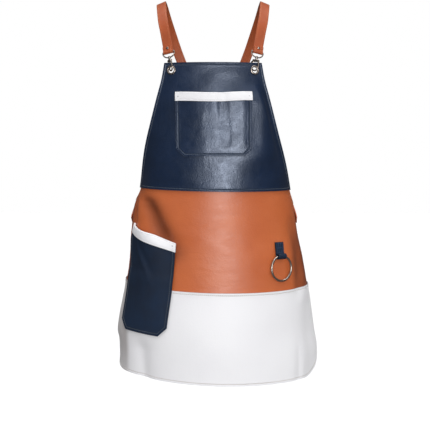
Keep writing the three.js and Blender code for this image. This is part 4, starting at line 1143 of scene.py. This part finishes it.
def plate(outline, thick, soften=0.45):
    """A cast plate in the x-z plane with softened edges, from a closed outline."""
    outline = np.asarray(outline, float)
    middle = outline.mean(axis=0)
    size = np.abs(outline - middle).max()
    rings = []
    for depth, inset in ((0, soften), (soften * 0.3, soften * 0.3), (soften, 0),
                         (thick - soften, 0), (thick - soften * 0.3, soften * 0.3), (thick, soften)):
        shrunk = middle + (outline - middle) * (1 - inset / size)
        rings.append(np.stack([shrunk[:, 0], np.full(len(shrunk), depth - thick / 2), shrunk[:, 1]], axis=1))
    index = np.arange(len(rings) * len(outline)).reshape(len(rings), len(outline))
    return np.concatenate(rings), loop_faces(index)


def rod(radius, low, high, count, along_y=False):
    """A pin with softened ends, along z or along y."""
    soft = min(0.25, radius / 3)
    points, faces = turned([(0.01, low), (radius - soft, low), (radius, low + soft), (radius, high - soft),
                            (radius - soft, high), (0.01, high)], count)
    if along_y:
        points = np.stack([points[:, 0], points[:, 2], points[:, 1]], axis=1)
        faces = [face[::-1] for face in faces]
    return points, faces


def arc(x, z, radius, start, end, count):
    """Corners along an arc round a middle."""
    turn = np.linspace(start, end, count)
    return [(x + radius * math.cos(a), z + radius * math.sin(a)) for a in turn]


def hook_parts():
    """The cast hook: its claw, the two cheeks and core of its head, its neck and its swivel stud."""
    low_bend = [(loop_middle + HOOK_LOOP * math.cos(a), 0, HOOK_LOOP + HOOK_LOOP * math.sin(a))
                for a in np.linspace(0, -math.pi, 25)]
    top = [(spine - HEAD_RADIUS, 0, HEAD_UP + 0.6), (spine - HEAD_RADIUS * 0.45, 0, HEAD_UP - 2.2),
           (spine - 0.4, 0, HEAD_UP - 5.0), (spine - 0.1, 0, HEAD_UP - 8.5), (spine, 0, HOOK_LOOP + 2.5)]
    path = top + low_bend + [(gate_in, 0, nose_up - 1.2), (gate_in, 0, nose_up)]
    radii = np.full(len(path), HOOK_WIRE / 2)
    radii[:3] = (2.1, 1.9, 1.65)
    radii[-1] = 1.25
    claw = swept(path, radii, 16)
    jaw = arc(spine - HEAD_RADIUS, HEAD_UP, HEAD_RADIUS, -math.pi / 2, math.pi / 2, 9)
    jaw += arc(pivot_in, HEAD_UP, HEAD_RADIUS, math.pi / 2, math.pi * 1.5, 11)
    cheek = (HEAD_THICK - HEAD_SLOT) / 2
    cheeks = []
    for where in (-1, 1):
        points, faces = plate(jaw, cheek, 0.3)
        cheeks.append((points + np.array([0, where * (HEAD_SLOT + cheek) / 2, 0]), faces))
    core = arc(spine - HEAD_RADIUS, HEAD_UP, HEAD_RADIUS * 0.92, -math.pi / 2, math.pi / 2, 9)
    core += [(pivot_in + HEAD_RADIUS + GAP, HEAD_UP + HEAD_RADIUS * 0.92),
             (pivot_in + HEAD_RADIUS + GAP, HEAD_UP - HEAD_RADIUS * 0.92)]
    neck = turned([(0.01, HEAD_UP + 0.5), (3.2, HEAD_UP + 0.6), (3.05, HEAD_UP + 1.9), (2.4, HEAD_UP + 3.2),
                   (2.15, NECK_TOP - 0.5), (2.4, NECK_TOP - 0.2), (2.3, NECK_TOP), (0.01, NECK_TOP)], 28)
    stud = rod(1.3, HEAD_UP, NECK_TOP + BOSS_HEIGHT + 1.2, 16)
    stud_low = NECK_TOP + 2 * GAP + BOSS_HEIGHT
    head = turned([(0.01, stud_low), (2.2, stud_low), (2.2, stud_low + 0.5), (1.7, stud_low + 1.0),
                   (0.9, stud_low + 1.25), (0.01, stud_low + 1.3)], 24)
    return together(claw, *cheeks, plate(core, HEAD_CORE, 0.2), neck, stud, head)


def gate_parts():
    """The sprung lever that closes the claw, with its thumb rest and its hinge pin."""
    tip = nose_up + 2 * GAP
    half = GATE_THICK / 2
    thumb = HEAD_UP - HEAD_RADIUS
    outline = [(gate_in, tip), (gate_in - half, tip + half), (gate_in - half, thumb - HEAD_RADIUS - half),
               (gate_in - 2.6 * half, thumb - HEAD_RADIUS - 0.2),
               (gate_in - 3 * half, thumb - HEAD_RADIUS * 0.5), (gate_in - 2.7 * half, thumb + 0.1)]
    outline += arc(pivot_in, HEAD_UP, HEAD_RADIUS - GAP, math.pi, 0, 13)
    outline += [(gate_in + half + 0.5, HEAD_UP - 4.5), (gate_in + half, HEAD_UP - 6.5),
                (gate_in + half, tip)]
    pin = rod(0.7, -HEAD_THICK / 2 - 0.1, HEAD_THICK / 2 + 0.1, 20, along_y=True)
    pin = (pin[0] + np.array([pivot_in, 0, HEAD_UP]), pin[1])
    return together(plate(outline[::-1], GATE_THICK, 0.35), pin)


def eye_parts():
    """The wire D, with its straight bar on top for the strap, and the boss that turns on the stud."""
    wire = EYE_WIRE / 2
    boss_low = NECK_TOP + GAP
    bow_half = STRAP_WIDTH / 2 + 2 * GAP + wire
    bow_low = boss_low + BOSS_HEIGHT - wire
    bow_top = BAR_UP - 2 * wire
    path = [(x, 0, BAR_UP) for x in np.linspace(-bow_half + wire, bow_half - wire, 12)]
    path += [(x, 0, z) for x, z in arc(bow_half - wire, BAR_UP - wire, wire, math.pi / 2, 0, 6)[1:]]
    path += [(bow_half * math.cos(a), 0, bow_top - (bow_top - bow_low) * math.sin(a))
             for a in np.linspace(0, math.pi, 41)]
    path += [(x, 0, z) for x, z in arc(wire - bow_half, BAR_UP - wire, wire, math.pi, math.pi / 2, 6)[:-1]]
    boss_top = boss_low + BOSS_HEIGHT
    boss = turned([(1.6, boss_low), (2.9, boss_low), (3.2, boss_low + 0.35), (3.2, boss_top - 0.4),
                   (2.9, boss_top), (1.6, boss_top), (1.6, boss_low)], 28)
    return together(swept(path, wire, 14, closed=True), boss)


for name, at in sides.items():
    way = SHOULDER_WAY * [SHOULDER_HALF * at["side"], SHOULDER_DEPTH, -BIB_DROP] + [0, 0, STRAP_THICK / 2]
    up = unit(way[0] - at["centre"])
    across = unit(np.cross(up, at["out"]))
    out = np.cross(across, up)
    base = at["centre"] + up * HOOK_RISE
    at.update(way=way, pull=up, face=out, base=base)
    turn = HOOK_TURN - math.pi / 2
    claw_x = across * math.cos(turn) - out * math.sin(turn)
    claw_y = across * math.sin(turn) + out * math.cos(turn)
    for piece, node, (points, faces), x, y, body in (
            (f"hook_{name}_cast", f"hook_{name}", hook_parts(), claw_x, claw_y, "apron"),
            (f"gate_{name}_lever", f"gate_{name}", gate_parts(), claw_x, claw_y, f"gate_{name}"),
            (f"swivel_eye_{name}_wire", f"swivel_eye_{name}", eye_parts(), across, out, "apron")):
        add_piece(piece, (in_frame(base, x, y, up, points), faces), nickel, node, body=body)

# STRAPS
# Two straps of doubled tan leather, 20 mm wide and 2.4 mm thick, with a row of stitches along each
# edge. Each is folded round its swivel eye and riveted, goes over a shoulder, crosses the other on
# the back and is riveted to the far corner of the waist panel.
FOLD_INNER = 1.65
LAYER_GAP = 0.4
FOLD_END = 11.0
FOLD_TAPER = 4.5
FOLD_TO_STRAP = 4.0
STRAP_EASE = 0.6
STRAP_END_DROP = 312.04
STRAP_END_INSET = 18.0
STRAP_TAIL = 11.0
BACK_ACROSS = 52.0
BACK_DROP = 20.0
STRAP_STITCH = 7.4
STRAP_GROOVE = 2.4
RIVET_UP = 7.3
strap_layer = (STRAP_THICK + LAYER_GAP) / 2
fold_radius = FOLD_INNER + STRAP_THICK / 2

# The straps are of the same tan hide, in a redder and darker copy of its dye: painted shade.
shaded_strap_hide, shader = hide(
    "tan_strap_leather_painted_shade", "94401f", "b65d33", None,
    (1.4, 24, 1.6, 9.0, 0.08, (1.0, 0.4, 1.0)), (0.35, 0.0005))[:2]
shader.inputs["Roughness"].default_value = 0.42
shader.inputs["IOR"].default_value = 1.5


def curve_through(knots, count):
    """Points on a smooth curve through knots, count to each interval."""
    knots = np.asarray(knots, float)
    before, after = 2 * knots[:1] - knots[1:2], 2 * knots[-1:] - knots[-2:-1]
    full = np.concatenate([before, knots, after])
    found = []
    for i in range(len(knots) - 1):
        p0, p1, p2, p3 = full[i:i + 4]
        t = (np.arange(count) / count)[:, None]
        t0, t1 = (p2 - p0) / 2, (p3 - p1) / 2
        square, cube = 3 * p2 - 3 * p1 - 2 * t0 - t1, 2 * p1 - 2 * p2 + t0 + t1
        found.append(p1 + t0 * t + square * t**2 + cube * t**3)
    return np.concatenate(found + [knots[-1:]])


def around_at(z):
    """Half the way round the worn form at a height."""
    half, front, back, _, _ = (v[:, None] for v in section_at(np.atleast_1d(z)))
    return section_paces(half, front, back).sum(axis=1)


def back_place(q, z):
    """Points on the back of the worn form, q to the side of its middle."""
    return worn_point(around_at(z) - q, z, 0)


def back_way(side):
    """Knots and outward directions of a strap's stretch down the back, over the other strap where
    they cross and over the waist panel at its end."""
    end_z = -BIB_DROP - STRAP_END_DROP
    around, slide = around_at(end_z)[0], section_at(np.array([end_z]))[4][0]
    anchor = -side * (half_width(np.array([STRAP_END_DROP]))[0] - STRAP_END_INSET)
    end_q = -side * (around - abs(anchor - slide))
    start_q, start_z = side * BACK_ACROSS, -BIB_DROP - BACK_DROP
    length = math.hypot(end_q - start_q, end_z - start_z)
    part = np.append(np.linspace(0, 1, 13), 1 + STRAP_TAIL / length)
    q, z = start_q + (end_q - start_q) * part, start_z + (end_z - start_z) * part
    out = -frame_of(back_place, q, z)[0]
    on_panel = LEATHER * (1 - smooth(40, 80, (1 - part) * length))
    crossing = (STRAP_THICK + 2 * GAP) * (side > 0) * (1 - smooth(22, 62, np.abs(q)))
    lift = STRAP_THICK / 2 + STRAP_EASE + on_panel + crossing
    return back_place(q, z) + out * lift[:, None], out


def strap_relief(place, along):
    """Rows of stitches near both edges and the raised middle between them."""
    groove = bump(np.abs(place), STRAP_STITCH, 0.5) + 0.6 * bump(np.abs(place), STRAP_GROOVE, 0.5)
    return 0.12 * bump(np.abs(place), (STRAP_STITCH + STRAP_GROOVE) / 2, 2.0) - 0.34 * groove


for name, at in sides.items():
    side, pull, out = at["side"], at["pull"], at["face"]
    bar = at["base"] + pull * BAR_UP
    rises = np.linspace(0, FOLD_END, 12)
    offs = strap_layer + (fold_radius - strap_layer) * (1 - smooth(0, FOLD_TAPER, rises))
    path = [bar + pull * rise + out * off for rise, off in zip(rises[::-1], offs[::-1])]
    outs = [out] * len(rises)
    for lean in np.linspace(0, math.pi, 19)[1:-1]:
        path.append(bar - pull * fold_radius * math.sin(lean) + out * fold_radius * math.cos(lean))
        outs.append(out * math.cos(lean) - pull * math.sin(lean))
    path += [bar + pull * rise - out * off for rise, off in zip(rises, offs)]
    outs += [-out] * len(rises)
    way = at["way"]
    core = np.stack([way[:, 0] * 0.6, 0 * way[:, 1], np.minimum(way[:, 2], -BIB_DROP * 0.8)], axis=1)
    back, back_outs = back_way(side)
    start = bar + pull * (FOLD_END + FOLD_TO_STRAP) - out * strap_layer
    line = curve_through(np.concatenate([[start], way, back]), 10)
    line_outs = -curve_through(np.concatenate([[out], unit(way - core), back_outs]), 10)
    middle, raised = np.concatenate([path, line]), np.concatenate([outs, line_outs])
    points, faces, flat = strip(middle, raised, STRAP_WIDTH, STRAP_THICK, strap_relief)
    add_piece(f"strap_{name}_leather", (points, faces), shaded_strap_hide, f"strap_{name}",
              flat_cut=flat)

    # Both faces are sewn, the inner one only past the fold, where it shows.
    ahead = unit(np.gradient(middle, axis=0))
    sideways = unit(np.cross(ahead, raised))
    outward = np.cross(sideways, ahead)
    rows = []
    for place in (-STRAP_STITCH, STRAP_STITCH):
        for face, lift, begin in ((1, STRAP_THICK / 2 - 0.2, 0), (-1, STRAP_THICK / 2, len(path) + 4)):
            shown = middle + sideways * place + outward * face * lift
            rows.append(stitches(shown[begin:], face * outward[begin:], pitch=3.6, length=2.8, thick=0.7))
    add_piece(f"strap_{name}_thread", together(*rows), threads["tan"])

    # Rivets with a domed head, through the fold and through the end and the waist panel.
    for rivet, centre, direction, head, low, high in (
            ("strap_rivet", bar + pull * RIVET_UP, out, 2.6, -2.9, 2.9),
            ("strap_end_rivet", back[-2], back_outs[-2], 4.0, -5.3, 1.8)):
        profile = [(0.01, low - 1.0), (head * 0.9, low - 1.0), (head, low - 0.7), (head, low), (1.0, low),
                   (1.0, high), (head, high)]
        profile += [(max(head * math.cos(a), 0.01), high + 0.3 + 0.9 * math.sin(a))
                    for a in np.linspace(0, math.pi / 2, 9)]
        right = unit(np.cross(direction, pull + 0.1))
        shape = set_on(centre, right, np.cross(direction, right), direction, turned(profile, 32))
        add_piece(f"{rivet}_{name}_dome", shape, nickel, f"{rivet}_{name}")

# STUDIO
# A plain pale floor under the apron, a tall window of soft light just to the right of the camera, a
# softer high panel, an even light overhead, and soft fills from both sides, behind and below.
FLOOR_LEVEL = -1.35
FLOOR_SIZE = 40
paper, _, shader = new_material("pale_paper_floor")
shader.inputs["Base Color"].default_value = linear("f4f4f4")
shader.inputs["Roughness"].default_value = 0.9
bpy.ops.mesh.primitive_plane_add(size=FLOOR_SIZE, location=(0, 0, FLOOR_LEVEL))
floor = bpy.context.object
floor.name = "floor"
floor.data.materials.append(paper)
floor.visible_glossy = False
floor.visible_diffuse = False
floor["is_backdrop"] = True


def soft_light(name, place, target, size, power):
    """A soft panel of light at a place, turned to a target."""
    lamp = bpy.data.lights.new(name, "AREA")
    lamp.shape = "RECTANGLE"
    lamp.size, lamp.size_y = size
    lamp.energy = power
    made = bpy.data.objects.new(name, lamp)
    made.location = place
    made.rotation_euler = (Vector(target) - Vector(place)).to_track_quat("-Z", "Y").to_euler()
    bpy.context.scene.collection.objects.link(made)


def even_light(name, turn, lean, angle, strength, shines):
    """Light from one side of the sky, spread over an angle. One that doesn't shine fills the shadows
    and leaves no streak on the wax."""
    lamp = bpy.data.lights.new(name, "SUN")
    lamp.angle = math.radians(angle)
    lamp.energy = strength
    made = bpy.data.objects.new(name, lamp)
    made.rotation_euler = (math.radians(lean), 0, math.radians(turn))
    made.visible_glossy = shines
    bpy.context.scene.collection.objects.link(made)


soft_light("window", (0.40, -2.75, -0.31), (0.02, -0.1, -0.42), (1.0, 1.1), 39)
soft_light("high_panel", (0.35, -1.9, 1.25), (0.05, -0.1, -0.15), (2.2, 0.8), 6.5)
even_light("overhead", 0, 0, 55, 2.4, True)
even_light("fill_left", -52, 70, 90, 0.95, False)
even_light("fill_right", 54, 72, 90, 1.0, False)
even_light("fill_back", 180, 68, 90, 1.1, False)
even_light("bounce", 0, 180, 120, 0.35, False)

world = bpy.data.worlds.new("studio")
world.use_nodes = True
tree = world.node_tree
seen = add_node(tree, "ShaderNodeLightPath")
level = add_node(tree, "ShaderNodeMapRange", {
    "Value": seen.outputs["Is Camera Ray"], "To Min": 0.08, "To Max": 1.0})
tree.links.new(level.outputs[0], tree.nodes["Background"].inputs["Strength"])
tree.nodes["Background"].inputs["Color"].default_value = (1, 1, 1, 1)
bpy.context.scene.world = world
bpy.context.scene.view_settings.view_transform = "Standard"

# The photo's camera: its focal length and the picture's width in pixels, and how far it looks down.
FOCAL_PIXELS = 1048
PICTURE_PIXELS = 430
LOOK_DOWN = 2.73
SENSOR_WIDTH = 36.0
lens = bpy.data.cameras.new("camera")
lens.sensor_width = SENSOR_WIDTH
lens.lens = FOCAL_PIXELS / PICTURE_PIXELS * SENSOR_WIDTH
lens.clip_end = 100
camera = bpy.data.objects.new("camera", lens)
camera.location = (0.004, -2.2, -0.334)
camera.rotation_euler = (math.radians(90 - LOOK_DOWN), 0, 0)
bpy.context.scene.collection.objects.link(camera)
bpy.context.scene.camera = camera

low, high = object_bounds()
